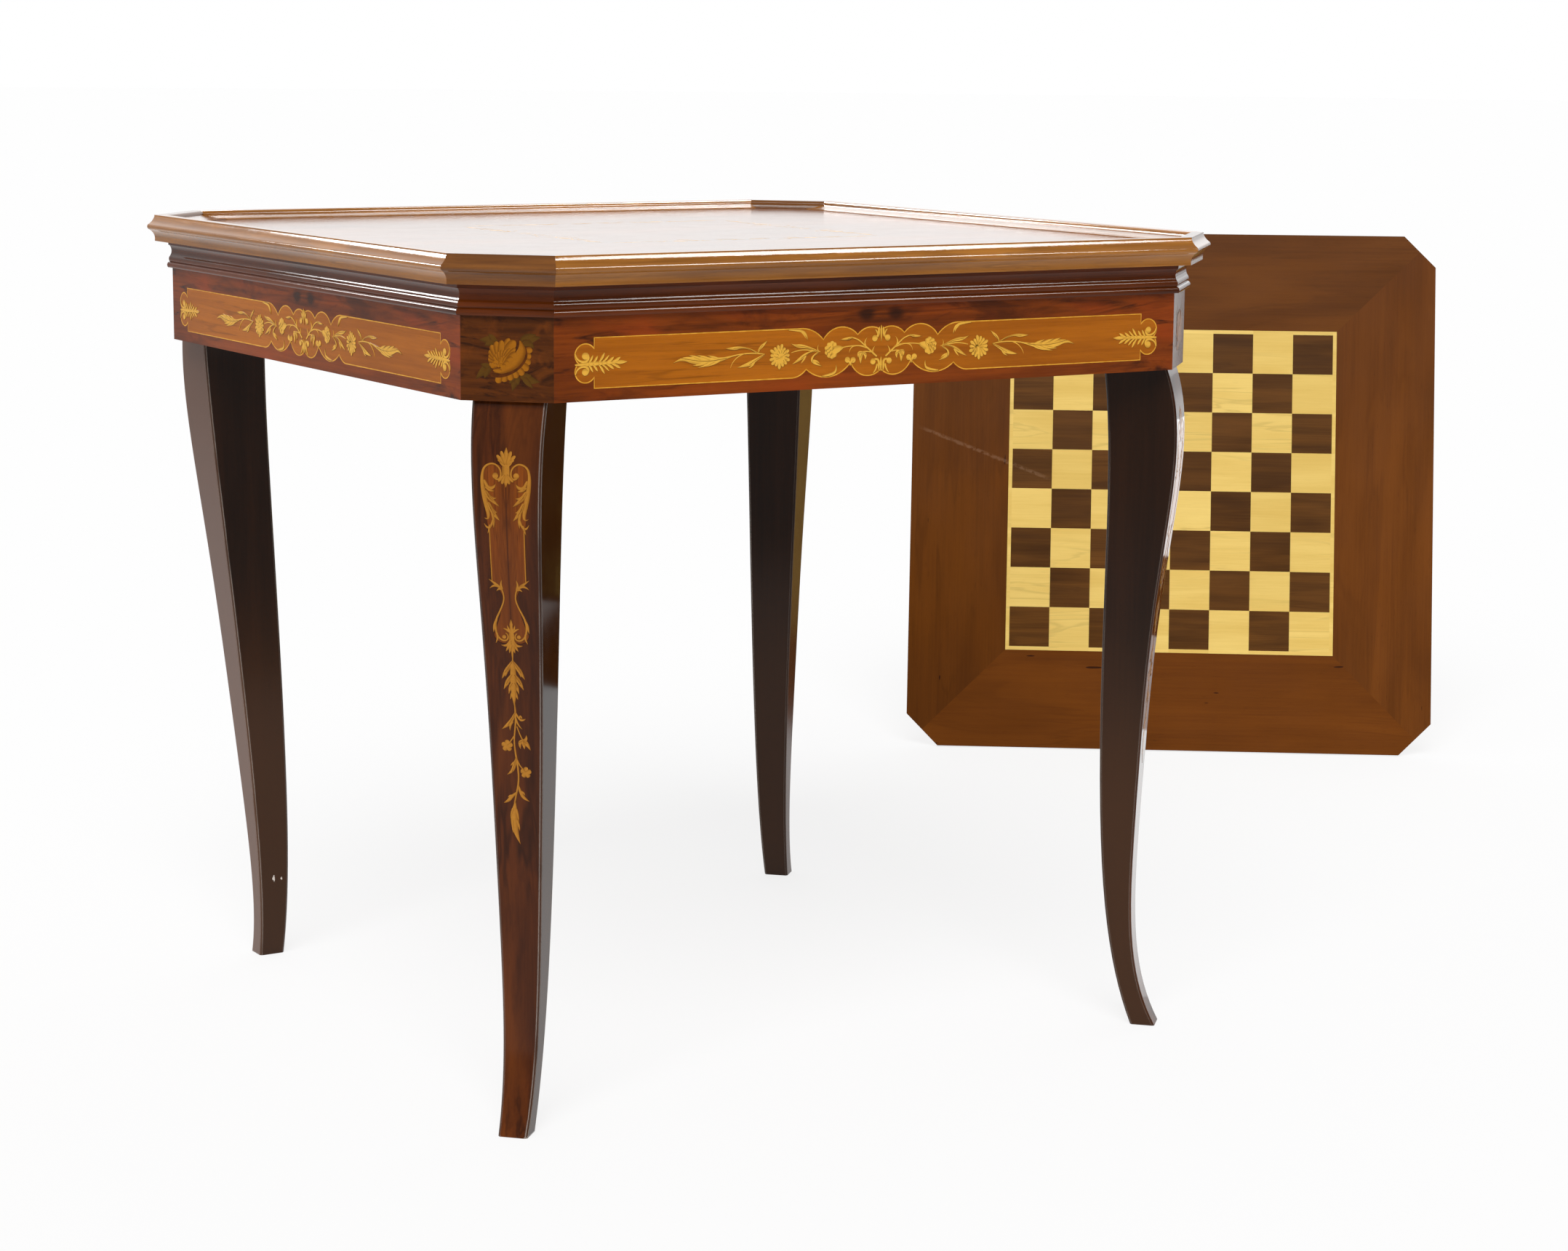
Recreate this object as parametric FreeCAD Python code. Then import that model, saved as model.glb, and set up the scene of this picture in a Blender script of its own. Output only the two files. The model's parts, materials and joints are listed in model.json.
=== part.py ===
import FreeCAD, Part
import math
import os

V = FreeCAD.Vector
UP = V(0, 0, 1)
os.makedirs("parts", exist_ok=True)

# All sizes in mm. The floor is z = 0, the table's centre is the origin,
# the front rail faces -Y.

# Chess board: its size sets the size of the table
BOARD_ACROSS = 713.0
BOARD_THICK = 8.0
FACE_VENEER = 2.0
BACK_VENEER = 1.0
SQUARE = 54.5
LINE_WIDE = 5.0
BOARD_AT_X = 1162.8
BOARD_AT_Y = 664.7
BOARD_YAW = -35.25
BOARD_LEAN = 13.64

# Rim and top
RIM_WIDE = 44.6
RIM_HEIGHT = 26.0
RIM_FLAT = 10.0
RIM_BEAD = 4.6
RIM_STEP = 2.4
RIM_LIP = 0.5
RIM_FILLET = 1.4
RIM_NOSE = 6.8
RIM_NOSE_DROP = 11.6
RIM_OVER = 15.6
RECESS_DEPTH = 7.5
TONGUE_LENGTH = 8.0
TONGUE_THICK = 6.0

# Frieze moulding
FRIEZE_HEIGHT = 26.5
FRIEZE_BEAD = 4.9
FRIEZE_UPPER_BEAD = 3.2
FRIEZE_CAVETTO = 0.6
FRIEZE_FILLET = 3.4

# Apron frame
APRON_CUT = 58.5
APRON_HEIGHT = 72.5
APRON_THICK = 22.0
BLOCK_BEHIND = 45.0
TENON_THICK = 8.0
TENON_LENGTH = 7.0
TENON_BEHIND = 9.0
TENON_SHOULDER = 12.0

# Legs: distances out from and in from the bolt axis at each level
LEG_HEIGHT = 650.0
LEG_INSET = 36.0
LEG_TOP_WIDE = 66.5
LEG_FOOT_WIDE = 27.0
LEG_TOP_OUT = 30.0
LEG_TOP_IN = -30.0
KNEE_DROP = 78.0
KNEE_OUT = 41.0
KNEE_IN = -24.5
THIGH_DROP = 176.0
THIGH_OUT = 31.0
THIGH_IN = -24.7
CALF_RISE = 277.0
CALF_OUT = 13.0
CALF_IN = -26.5
ANKLE_RISE = 150.0
ANKLE_OUT = 7.5
ANKLE_IN = -21.5
FOOT_OUT = 33.0
FOOT_IN = 9.0
LEG_EDGE = 1.8
LEG_TURNS = {"fl": 0.0, "fr": 0.0, "br": 0.0, "bl": -45.0}
LEG_LEAN_BL = 45.0

# Inlays
INLAY_THICK = 1.0
PANEL_END = 38.5
PANEL_HEIGHT = 43.0
PANEL_DROP = 3.8
SCALLOP = 80.0
VOLUTE = 18.5
LYRE_TOP_DROP = 53.0
LYRE_LENGTH = 156.0
LYRE_WIDE = 40.0
LYRE_BODY = 31.2
LYRE_WAIST = 11.6

# Fasteners
BOLT_DIA = 10.0
BOLT_IN_LEG = 42.0
BOLT_IN_BLOCK = 25.0
INSERT_DIA = 18.0
INSERT_LENGTH = 30.0
CLEAT_UNDER = 21.0
CLEAT_ON_RAIL = 29.5
CLEAT_GAP = 16.0
SCREW_DIA = 4.0
SCREW_HEAD = 8.0
SCREW_HEAD_TALL = 2.4
SCREW_SLOT = 1.0
SCREW_END = 70.0
SCREW_EDGE = 9.0
SCREW_GRIP = 26.0
SCREW_COVER = 6.5

# Clearances
FIT = 0.3
SNUG = 0.15
BOARD_CLEAR = 1.5
BOARD_CORNER_CLEAR = 1.4

# Levels and offsets that follow
SLANT = 2.0 - math.sqrt(2.0)
RECESS_HALF = BOARD_ACROSS / 2 + BOARD_CLEAR
RIM_HALF = RECESS_HALF + RIM_WIDE
APRON_HALF = RIM_HALF - RIM_OVER
FRAME_INNER = APRON_HALF - APRON_THICK
CORNER_OUT = (2 * APRON_HALF - APRON_CUT) / math.sqrt(2.0)
BOARD_CUT = APRON_CUT + (RECESS_HALF - APRON_HALF) * SLANT + BOARD_CORNER_CLEAR
APRON_TOP = LEG_HEIGHT + APRON_HEIGHT
FRIEZE_TOP = APRON_TOP + FRIEZE_HEIGHT
RIM_TOP = FRIEZE_TOP + RIM_HEIGHT
RECESS_FLOOR = RIM_TOP - RECESS_DEPTH
TONGUE_MID = (FRIEZE_TOP + RECESS_FLOOR) / 2
LEG_AXIS = CORNER_OUT - LEG_INSET
BLOCK_HEEL = (LEG_AXIS - BLOCK_BEHIND) * math.sqrt(2.0) - FRAME_INNER
CLEAT_INNER = RECESS_HALF - CLEAT_UNDER
CLEAT_WIDE = FRAME_INNER - CLEAT_INNER
CLEAT_TALL = FRIEZE_HEIGHT + CLEAT_ON_RAIL
CLEAT_LENGTH = 2 * (BLOCK_HEEL - CLEAT_GAP)
SIDES = ("front", "fr", "right", "br", "back", "bl", "left", "fl")


def save(name, shapes):
    """Write one node, a solid or a group of solids."""
    if isinstance(shapes, list):
        shapes = shapes[0] if len(shapes) == 1 else Part.makeCompound(shapes)
    shapes.exportStep("parts/" + name + ".step")


def half_length(half, corner):
    """Half the length of an octagon side at a given parallel offset."""
    cut = APRON_CUT + (half - APRON_HALF) * SLANT
    return cut / math.sqrt(2.0) if corner else half - cut


def distance(half, corner):
    """Distance of an octagon side from the centre at a given offset."""
    return CORNER_OUT + half - APRON_HALF if corner else half


def outline(half):
    """The eight corners of the octagon, counter-clockwise from the front."""
    points = []
    for side in range(8):
        corner = side % 2 == 1
        point = V(-half_length(half, corner), -distance(half, corner), 0)
        turn = FreeCAD.Rotation(UP, 45.0 * side)
        points.append(turn.multVec(point))
    return points


def prism(points, bottom, top):
    """Upright solid on a closed polygon."""
    base = [V(p[0], p[1], bottom) for p in points]
    face = Part.Face(Part.makePolygon(base + base[:1]))
    return face.extrude(V(0, 0, top - bottom))


def closed_wire(start, steps, place):
    """Wire of lines (one point) and arcs (two points), placed in space."""
    edges = []
    here = start
    for step in steps + [(start,)]:
        end = step[-1]
        if abs(end[0] - here[0]) + abs(end[1] - here[1]) < 1e-6:
            continue
        if len(step) == 1:
            edges.append(Part.makeLine(place(here), place(end)))
        else:
            edges.append(Part.Arc(place(here), place(step[0]), place(end)).toShape())
        here = end
    return Part.Wire(edges)


def mirrored(start, steps):
    """Adds the mirror image across the second axis to an open half outline."""
    points = [start]
    for step in steps:
        points.append(step[-1])
    flip = lambda p: (-p[0], p[1])
    back = []
    for index in range(len(steps) - 1, -1, -1):
        target = flip(points[index])
        if len(steps[index]) == 1:
            back.append((target,))
        else:
            back.append((flip(steps[index][0]), target))
    return steps + back


def moulding(side, start, steps, inner, outer):
    """Bar of the given profile along one octagon side, mitred at both ends."""
    corner = side % 2 == 1
    reach = half_length(outer, corner) + 5.0
    place = lambda p: V(-reach, -distance(p[0], corner), p[1])
    bar = Part.Face(closed_wire(start, steps, place)).extrude(V(2 * reach, 0, 0))
    ends = []
    for half, sign in ((inner, -1), (inner, 1), (outer, 1), (outer, -1)):
        ends.append((sign * half_length(half, corner), -distance(half, corner)))
    wedge = prism(ends, 0, 2 * RIM_TOP)
    piece = bar.common(wedge).removeSplitter()
    piece.rotate(V(), UP, 45.0 * side)
    return piece


def frieze(side):
    """Lower moulding: two beads below a cavetto and a top fillet."""
    tall = FRIEZE_HEIGHT
    z0 = APRON_TOP
    z1 = FRIEZE_TOP
    bead = APRON_HALF + FRIEZE_BEAD
    upper = APRON_HALF + FRIEZE_UPPER_BEAD
    deep = APRON_HALF + FRIEZE_CAVETTO
    top = APRON_HALF + FRIEZE_FILLET
    quirk = bead - 0.5 * FRIEZE_BEAD
    steps = [
        ((bead - 0.8, z0),),
        ((bead, z0 + 0.10 * tall), (bead - 0.9, z0 + 0.19 * tall)),
        ((quirk, z0 + 0.22 * tall),),
        ((upper, z0 + 0.33 * tall), (upper - 0.9, z0 + 0.43 * tall)),
        ((deep, z0 + 0.64 * tall), (top - 0.8, z1 - 0.15 * tall)),
        ((top, z1 - 0.15 * tall),),
        ((top, z1),),
        ((FRAME_INNER, z1),),
    ]
    return moulding(side, (FRAME_INNER, z0), steps, FRAME_INNER, bead + 1.0)


def rim(side):
    """Upper moulding: cove, nose and ogee outside, bead and cove inside."""
    z0 = FRIEZE_TOP
    z1 = RIM_TOP
    nose = RIM_HALF + RIM_NOSE
    mid = z1 - RIM_NOSE_DROP
    turn = 0.1 * RIM_HEIGHT
    hollow = RIM_HALF + 0.3 * RIM_NOSE
    flat = RIM_HALF - RIM_FLAT
    step = z1 - 0.52 * RECESS_DEPTH
    slope = flat - RIM_BEAD - RIM_STEP
    lip = RECESS_FLOOR + RIM_LIP
    groove = RECESS_HALF + TONGUE_LENGTH + FIT
    cheek = TONGUE_THICK / 2 + SNUG
    steps = [
        ((RIM_HALF, z0),),
        ((RIM_HALF, z0 + RIM_FILLET),),
        ((hollow, z0 + 0.62 * (mid - z0)), (nose - 0.19 * RIM_NOSE, mid - turn)),
        ((nose, mid), (nose - 0.19 * RIM_NOSE, mid + turn)),
        ((hollow, mid + 0.52 * RIM_NOSE_DROP), (RIM_HALF, z1 - RIM_FILLET)),
        ((RIM_HALF, z1),),
        ((flat, z1),),
        ((flat - 0.7 * RIM_BEAD, z1 - 0.16 * RECESS_DEPTH), (flat - RIM_BEAD, step)),
        ((slope, step),),
        (((slope + RECESS_HALF) / 2, lip + 0.12 * RECESS_DEPTH), (RECESS_HALF, lip)),
        ((RECESS_HALF, TONGUE_MID + cheek),),
        ((groove, TONGUE_MID + cheek),),
        ((groove, TONGUE_MID - cheek),),
        ((RECESS_HALF, TONGUE_MID - cheek),),
    ]
    return moulding(side, (RECESS_HALF, z0), steps, RECESS_HALF, nose + 1.0)


def cartouche(grow):
    """Outline of the rail inlay: scalloped centre, notched ends with volutes."""
    half = half_length(APRON_HALF, False) - PANEL_END + grow
    tall = PANEL_HEIGHT / 2 + grow
    end = half + VOLUTE
    upper = [
        ((0.15 * SCALLOP, 0.95 * tall), (0.31 * SCALLOP, 0.66 * tall)),
        ((0.51 * SCALLOP, tall), (0.76 * SCALLOP, 0.51 * tall)),
        ((0.88 * SCALLOP, 0.86 * tall), (1.07 * SCALLOP, tall)),
    ]
    end_piece = [
        ((half, tall),),
        ((half, 0.56 * tall),),
        ((half + 0.57 * VOLUTE, 0.76 * tall), (end, 0.35 * tall)),
        ((end - 0.05 * VOLUTE, 0.16 * tall), (end - 0.19 * VOLUTE, 0.0)),
        ((end - 0.05 * VOLUTE, -0.16 * tall), (end, -0.35 * tall)),
        ((half + 0.57 * VOLUTE, -0.76 * tall), (half, -0.56 * tall)),
        ((half, -tall),),
    ]
    lower = [
        ((1.19 * SCALLOP, -tall),),
        ((1.07 * SCALLOP, -0.92 * tall), (0.98 * SCALLOP, -0.67 * tall)),
        ((0.7 * SCALLOP, -1.03 * tall), (0.4 * SCALLOP, -0.46 * tall)),
        ((0.2 * SCALLOP, -1.05 * tall), (0.0, -0.81 * tall)),
    ]
    start = (0.0, 0.81 * tall)
    return start, mirrored(start, upper + end_piece + lower)


def rail_panel(side, grow, depth):
    """Cartouche plate that ends flush with the rail's outer face."""
    start, steps = cartouche(grow)
    level = LEG_HEIGHT + APRON_HEIGHT / 2 - PANEL_DROP
    place = lambda p: V(p[0], -APRON_HALF, level + p[1])
    plate = Part.Face(closed_wire(start, steps, place)).extrude(V(0, depth, 0))
    plate.rotate(V(), UP, 45.0 * side)
    return plate


def tenon(side, end, clear):
    """Tongue at one end of a rail, or its mortise when clear is given."""
    line = FRAME_INNER + TENON_BEHIND
    root = half_length(line, False)
    length = TENON_LENGTH + APRON_THICK / 2 + clear
    wide = TENON_THICK + 2 * clear
    tall = APRON_HEIGHT - 2 * TENON_SHOULDER + 2 * clear
    corner = V(root - APRON_THICK / 2, -line - wide / 2, LEG_HEIGHT + TENON_SHOULDER - clear)
    block = Part.makeBox(length, wide, tall, corner)
    if end < 0:
        block = block.mirror(V(), V(1, 0, 0))
    block.rotate(V(), UP, 45.0 * side)
    return block


def cleat_screw_places():
    """Points and directions of the screws of the front cleat."""
    pitch = CLEAT_LENGTH / 2 - SCREW_END
    seat = FRIEZE_TOP - SCREW_GRIP
    level = APRON_TOP - CLEAT_ON_RAIL / 2
    into_top = SCREW_GRIP + RECESS_FLOOR - FRIEZE_TOP - SCREW_COVER
    into_rail = CLEAT_WIDE + APRON_THICK - SCREW_COVER
    places = []
    for step in (-1, 0, 1):
        places.append((V(step * pitch, SCREW_EDGE - RECESS_HALF, seat), UP, into_top))
    for step in (-0.5, 0.5):
        places.append((V(step * pitch, -CLEAT_INNER, level), V(0, -1, 0), into_rail))
    return places


def screw(point, way, length):
    """Pan-head screw, slotted, its head seated at the given point."""
    shank = Part.makeCylinder(SCREW_DIA / 2, length, point, way)
    head = Part.makeCylinder(SCREW_HEAD / 2, SCREW_HEAD_TALL, point, way.negative())
    low = V(-SCREW_HEAD / 2, -SCREW_SLOT / 2, -1.5 * SCREW_HEAD_TALL)
    slot = Part.makeBox(SCREW_HEAD, SCREW_SLOT, SCREW_HEAD_TALL, low)
    slot.Placement = FreeCAD.Placement(point, FreeCAD.Rotation(UP, way)).multiply(slot.Placement)
    return shank.fuse(head).cut(slot).removeSplitter()


def screw_hole(point, way, length):
    """Clearance hole for a screw with room for its head."""
    shank = Part.makeCylinder(SCREW_DIA / 2 + SNUG, length + 1.0, point, way)
    room = Part.makeCylinder(SCREW_HEAD / 2 + FIT, CLEAT_TALL, point, way.negative())
    return shank.fuse(room)


def leg_body(lean):
    """Cabriole leg about its bolt axis, lofted through six sections, its foot moved by the lean."""
    stations = (
        (0.0, FOOT_OUT, FOOT_IN),
        (ANKLE_RISE, ANKLE_OUT, ANKLE_IN),
        (CALF_RISE, CALF_OUT, CALF_IN),
        (LEG_HEIGHT - THIGH_DROP, THIGH_OUT, THIGH_IN),
        (LEG_HEIGHT - KNEE_DROP, KNEE_OUT, KNEE_IN),
        (LEG_HEIGHT, LEG_TOP_OUT, LEG_TOP_IN),
    )
    sections = []
    for level, out, inn in stations:
        taper = (LEG_TOP_WIDE - LEG_FOOT_WIDE) * level / LEG_HEIGHT
        half = (LEG_FOOT_WIDE + taper) / 2
        bevel = half - LEG_EDGE
        shift = lean * (1.0 - level / LEG_HEIGHT)
        ring = [
            V(out - LEG_EDGE, -half, level),
            V(out, -bevel, level),
            V(out, bevel, level),
            V(out - LEG_EDGE, half, level),
            V(inn + LEG_EDGE, half, level),
            V(inn, bevel, level),
            V(inn, -bevel, level),
            V(inn + LEG_EDGE, -half, level),
        ]
        sections.append(Part.makePolygon([point + shift for point in ring + ring[:1]]))
    return Part.makeLoft(sections, True, False)


def lyre(grow):
    """Outline of the leg inlay: volute shoulders, waist and lower lobe."""
    top = LEG_HEIGHT - LYRE_TOP_DROP + grow
    low = LEG_HEIGHT - LYRE_TOP_DROP - LYRE_LENGTH - grow
    wide = LYRE_WIDE / 2 + grow
    body = LYRE_BODY / 2 + grow
    waist = LYRE_WAIST / 2 + grow
    level = lambda share: top + share * (low - top)
    right = [
        ((0.6 * wide, top), (wide, level(0.07))),
        ((0.96 * wide, level(0.22)), (body, level(0.38))),
        ((body, level(0.65)),),
        ((0.62 * body, level(0.69)), (waist, level(0.76))),
        ((0.62 * body, level(0.85)), (body, level(0.955))),
        ((0.55 * body, low), (0.0, level(0.98))),
    ]
    start = (0.0, level(0.045))
    return start, mirrored(start, right)


def lyre_solid(body, lean, grow):
    """Thin plate that follows the outer face of the leg."""
    start, steps = lyre(grow)
    place = lambda p: V(0, p[0] + lean.y * (1.0 - p[1] / LEG_HEIGHT), p[1])
    cutter = Part.Face(closed_wire(start, steps, place)).extrude(V(3 * KNEE_OUT, 0, 0))
    behind = body.copy()
    behind.translate(V(-INLAY_THICK, 0, 0))
    return body.common(cutter).cut(behind)


def leg(body, lean):
    """Leg with the hole for its bolt and the pocket for its inlay."""
    hole = Part.makeCylinder(BOLT_DIA / 2 + SNUG, BOLT_IN_LEG + 1.0, V(0, 0, LEG_HEIGHT), UP.negative())
    return body.cut(hole).cut(lyre_solid(body, lean, FIT))


def hanger_bolt():
    """Bolt set in the leg, with a point below and a chamfered upper end."""
    bottom = LEG_HEIGHT - BOLT_IN_LEG
    length = BOLT_IN_LEG + BOLT_IN_BLOCK
    shank = Part.makeCylinder(BOLT_DIA / 2, length, V(0, 0, bottom), UP)
    tips = []
    for edge in shank.Edges:
        if edge.Curve.TypeId == "Part::GeomCircle":
            tips.append(edge)
    return shank.makeChamfer(BOLT_DIA / 8, tips)


def board_place(shape):
    """Stands a board piece, drawn flat, on its lower edge behind the table."""
    lean = math.radians(BOARD_LEAN)
    tilt = FreeCAD.Rotation(V(1, 0, 0), 90.0 - BOARD_LEAN)
    yaw = FreeCAD.Rotation(UP, BOARD_YAW)
    base = V(BOARD_AT_X, BOARD_AT_Y, BOARD_THICK * math.sin(lean))
    stand = FreeCAD.Placement(base, yaw.multiply(tilt))
    shape.Placement = stand.multiply(shape.Placement)
    return shape


def board_outline():
    """Square with clipped corners, lower edge on the first axis."""
    half = BOARD_ACROSS / 2
    inner = half - BOARD_CUT
    points = []
    for turn in range(4):
        rotate = FreeCAD.Rotation(UP, 90.0 * turn)
        for x in (-inner, inner):
            point = rotate.multVec(V(x, -half, 0))
            points.append((point.x, point.y + half))
    return points


def board_border(turn):
    """One mitred border, from the light line to the outer edge."""
    half = BOARD_ACROSS / 2
    inner = 4 * SQUARE + LINE_WIDE
    clip = half - BOARD_CUT / 2
    tip = half - BOARD_CUT
    flat = [(-inner, -inner), (-clip, -clip), (-tip, -half), (tip, -half), (clip, -clip), (inner, -inner)]
    piece = prism(flat, -FACE_VENEER, 0)
    piece.rotate(V(), UP, 90.0 * turn)
    piece.translate(V(0, half, 0))
    return board_place(piece)


def board_squares(dark):
    """The 32 fields of one colour, corner at lower left is dark."""
    fields = []
    for column in range(8):
        for row in range(8):
            if (column + row) % 2 == (0 if dark else 1):
                x = (column - 4) * SQUARE
                y = BOARD_ACROSS / 2 + (row - 4) * SQUARE
                field = Part.makeBox(SQUARE, SQUARE, FACE_VENEER, V(x, y, -FACE_VENEER))
                fields.append(board_place(field))
    return fields


# Apron rails and their panels
octagon_out = outline(APRON_HALF)
octagon_in = outline(FRAME_INNER)
for side in (0, 2, 4, 6):
    name = SIDES[side]
    plan = [octagon_out[side], octagon_out[side + 1], octagon_in[side + 1], octagon_in[side]]
    rail = prism(plan, LEG_HEIGHT, APRON_TOP)
    for end in (-1, 1):
        rail = rail.fuse(tenon(side, end, 0.0))
    rail = rail.removeSplitter().cut(rail_panel(side, FIT, INLAY_THICK))
    for point, way, length in cleat_screw_places():
        hole = screw_hole(point, way, length)
        hole.rotate(V(), UP, 45.0 * side)
        rail = rail.cut(hole)
    save("apron_rail_" + name, rail)
    save("apron_panel_" + name, rail_panel(side, 0.0, INLAY_THICK))

# Corner blocks with mortises and the bore for the leg's insert
inserts = []
for side in (1, 3, 5, 7):
    turn = FreeCAD.Rotation(UP, 45.0 * (side - 1))
    heel_a = turn.multVec(V(BLOCK_HEEL, -FRAME_INNER, 0))
    heel_b = turn.multVec(V(FRAME_INNER, -BLOCK_HEEL, 0))
    after = (side + 1) % 8
    plan = [octagon_out[side], octagon_out[after], octagon_in[after], heel_b, heel_a, octagon_in[side]]
    block = prism(plan, LEG_HEIGHT, APRON_TOP)
    block = block.cut(tenon(side - 1, 1, SNUG)).cut(tenon(after, -1, SNUG))
    spot = FreeCAD.Rotation(UP, 45.0 * side).multVec(V(0, -LEG_AXIS, 0)) + V(0, 0, LEG_HEIGHT)
    bore = Part.makeCylinder(INSERT_DIA / 2 + SNUG, INSERT_LENGTH + 6.0, spot, UP)
    save("corner_block_" + SIDES[side], block.cut(bore))
    sleeve = Part.makeCylinder(INSERT_DIA / 2, INSERT_LENGTH, spot, UP)
    inserts.append(sleeve.cut(Part.makeCylinder(BOLT_DIA / 2 + FIT, INSERT_LENGTH, spot, UP)))
save("leg_inserts", inserts)

# Mitred mouldings
for side in range(8):
    save("frieze_" + SIDES[side], frieze(side))
    save("rim_" + SIDES[side], rim(side))

# Top panel with its tongue, cleats and screws
panel = prism(outline(RECESS_HALF), FRIEZE_TOP, RECESS_FLOOR)
tongue_plan = outline(RECESS_HALF + TONGUE_LENGTH)
tongue = prism(tongue_plan, TONGUE_MID - TONGUE_THICK / 2, TONGUE_MID + TONGUE_THICK / 2)
panel = panel.fuse(tongue).removeSplitter()
screws = []
for side in (0, 2, 4, 6):
    corner = V(-CLEAT_LENGTH / 2, -FRAME_INNER, FRIEZE_TOP - CLEAT_TALL)
    cleat = Part.makeBox(CLEAT_LENGTH, CLEAT_WIDE, CLEAT_TALL, corner)
    cleat.rotate(V(), UP, 45.0 * side)
    for point, way, length in cleat_screw_places():
        piece = screw(point, way, length)
        hole = screw_hole(point, way, length)
        piece.rotate(V(), UP, 45.0 * side)
        hole.rotate(V(), UP, 45.0 * side)
        cleat = cleat.cut(hole)
        panel = panel.cut(hole)
        screws.append(piece)
    save("cleat_" + SIDES[side], cleat)
save("top_panel", panel)
save("cleat_screws", screws)

# Legs, each turned on its bolt; the back left one also leans towards the middle
for side in (1, 3, 5, 7):
    name = SIDES[side]
    inward = V(-LEG_LEAN_BL if name == "bl" else 0.0, 0, 0)
    lean = FreeCAD.Rotation(UP, -LEG_TURNS[name]).multVec(inward)
    body = leg_body(lean)
    pieces = (
        ("leg", leg(body, lean)),
        ("leg_bolt", hanger_bolt()),
        ("leg_inlay", lyre_solid(body, lean, 0.0)),
    )
    spot = FreeCAD.Rotation(UP, 45.0 * side).multVec(V(0, -LEG_AXIS, 0))
    turn = FreeCAD.Rotation(UP, 45.0 * side - 90.0 + LEG_TURNS[name])
    for kind, shape in pieces:
        shape.Placement = FreeCAD.Placement(spot, turn)
        save(kind + "_" + name, shape)

# Chess board
core = prism(board_outline(), BACK_VENEER - BOARD_THICK, -FACE_VENEER)
save("board_core", board_place(core))
save("board_back", board_place(prism(board_outline(), -BOARD_THICK, BACK_VENEER - BOARD_THICK)))
for turn, name in enumerate(("bottom", "right", "top", "left")):
    save("board_border_" + name, board_border(turn))
line_out = 2 * (4 * SQUARE + LINE_WIDE)
field_out = 8 * SQUARE
low = V(-line_out / 2, (BOARD_ACROSS - line_out) / 2, -FACE_VENEER)
ring = Part.makeBox(line_out, line_out, FACE_VENEER, low)
low = V(-field_out / 2, (BOARD_ACROSS - field_out) / 2, -FACE_VENEER)
hole = Part.makeBox(field_out, field_out, FACE_VENEER, low)
save("board_line", board_place(ring.cut(hole)))
save("board_light_squares", board_squares(False))
save("board_dark_squares", board_squares(True))
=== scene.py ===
"""Looks of the chess table with inlaid board: veneers, marquetry, lacquer, light and camera."""
import json
import math

import bpy
from mathutils import Matrix, Vector


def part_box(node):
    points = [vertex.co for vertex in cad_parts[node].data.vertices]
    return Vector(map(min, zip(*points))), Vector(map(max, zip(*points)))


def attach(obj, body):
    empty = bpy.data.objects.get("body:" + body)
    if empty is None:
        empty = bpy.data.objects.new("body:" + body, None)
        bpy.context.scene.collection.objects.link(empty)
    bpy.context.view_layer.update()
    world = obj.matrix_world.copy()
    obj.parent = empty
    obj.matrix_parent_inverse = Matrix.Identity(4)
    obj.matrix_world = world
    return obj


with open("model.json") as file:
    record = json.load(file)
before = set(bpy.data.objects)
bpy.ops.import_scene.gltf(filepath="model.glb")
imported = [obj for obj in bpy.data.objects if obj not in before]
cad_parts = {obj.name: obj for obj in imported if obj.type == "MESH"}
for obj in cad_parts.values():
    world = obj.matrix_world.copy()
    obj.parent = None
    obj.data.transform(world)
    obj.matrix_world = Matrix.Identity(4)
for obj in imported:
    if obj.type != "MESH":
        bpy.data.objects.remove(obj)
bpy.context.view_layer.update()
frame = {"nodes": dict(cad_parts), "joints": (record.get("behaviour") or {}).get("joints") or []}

MM = 0.001
UP = Vector((0.0, 0.0, 1.0))
STILL = (0.0, 0.0, 0.0)

# The photograph's camera
CAMERA_AT = Vector((-1.6426, -2.8994, 0.9532))
CAMERA_YAW = math.radians(31.566)
CAMERA_PITCH = math.radians(-9.858)
CAMERA_ROLL = math.radians(0.494)
CAMERA_LENS = 77.31
SENSOR_WIDE = 36.0

# Places and sizes of the part, from the frame where it gives them
nodes = frame["nodes"]
JOINTS = {joint["name"]: joint for joint in frame["joints"]}
SIDES = ("front", "fr", "right", "br", "back", "bl", "left", "fl")
LEG_BODIES = {"fr": "leg_front_right", "br": "leg_back_right", "bl": "leg_back_left", "fl": "leg_front_left"}
RAIL_LOW, RAIL_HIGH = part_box("apron_rail_front")
PANEL_LOW, PANEL_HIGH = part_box("apron_panel_front")
APRON_FACE = -RAIL_LOW.y
APRON_MID = (RAIL_LOW.z + RAIL_HIGH.z) / 2
PANEL_MID = (PANEL_LOW.z + PANEL_HIGH.z) / 2
BLOCK_POINTS = [vertex.co for vertex in nodes["corner_block_fl"].data.vertices]
CORNER_FACE = max(-(point.x + point.y) for point in BLOCK_POINTS) / math.sqrt(2)
LEG_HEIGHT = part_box("leg_fl")[1].z
LEG_FOOT = 0.027
LEG_TOP = 0.0665
LEG_ROUND = 2.2 * MM
PANEL_FOOT = 0.43
LEG_REACH = -JOINTS["leg_turn_front_left"]["pos_m"][0] * math.sqrt(2)
LEG_TURN = {"fr": 0.0, "br": 0.0, "bl": math.radians(-45.0), "fl": 0.0}
LEG_LEAN = {"fr": 0.0, "br": 0.0, "bl": 0.045, "fl": 0.0}
BOARD_PIVOT = Vector(JOINTS["board_tip"]["pos_m"])
BOARD_AXIS = Vector(JOINTS["board_tip"]["axis"])
BOARD_LEAN = math.radians(JOINTS["board_tip"]["range_deg"][1])
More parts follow.
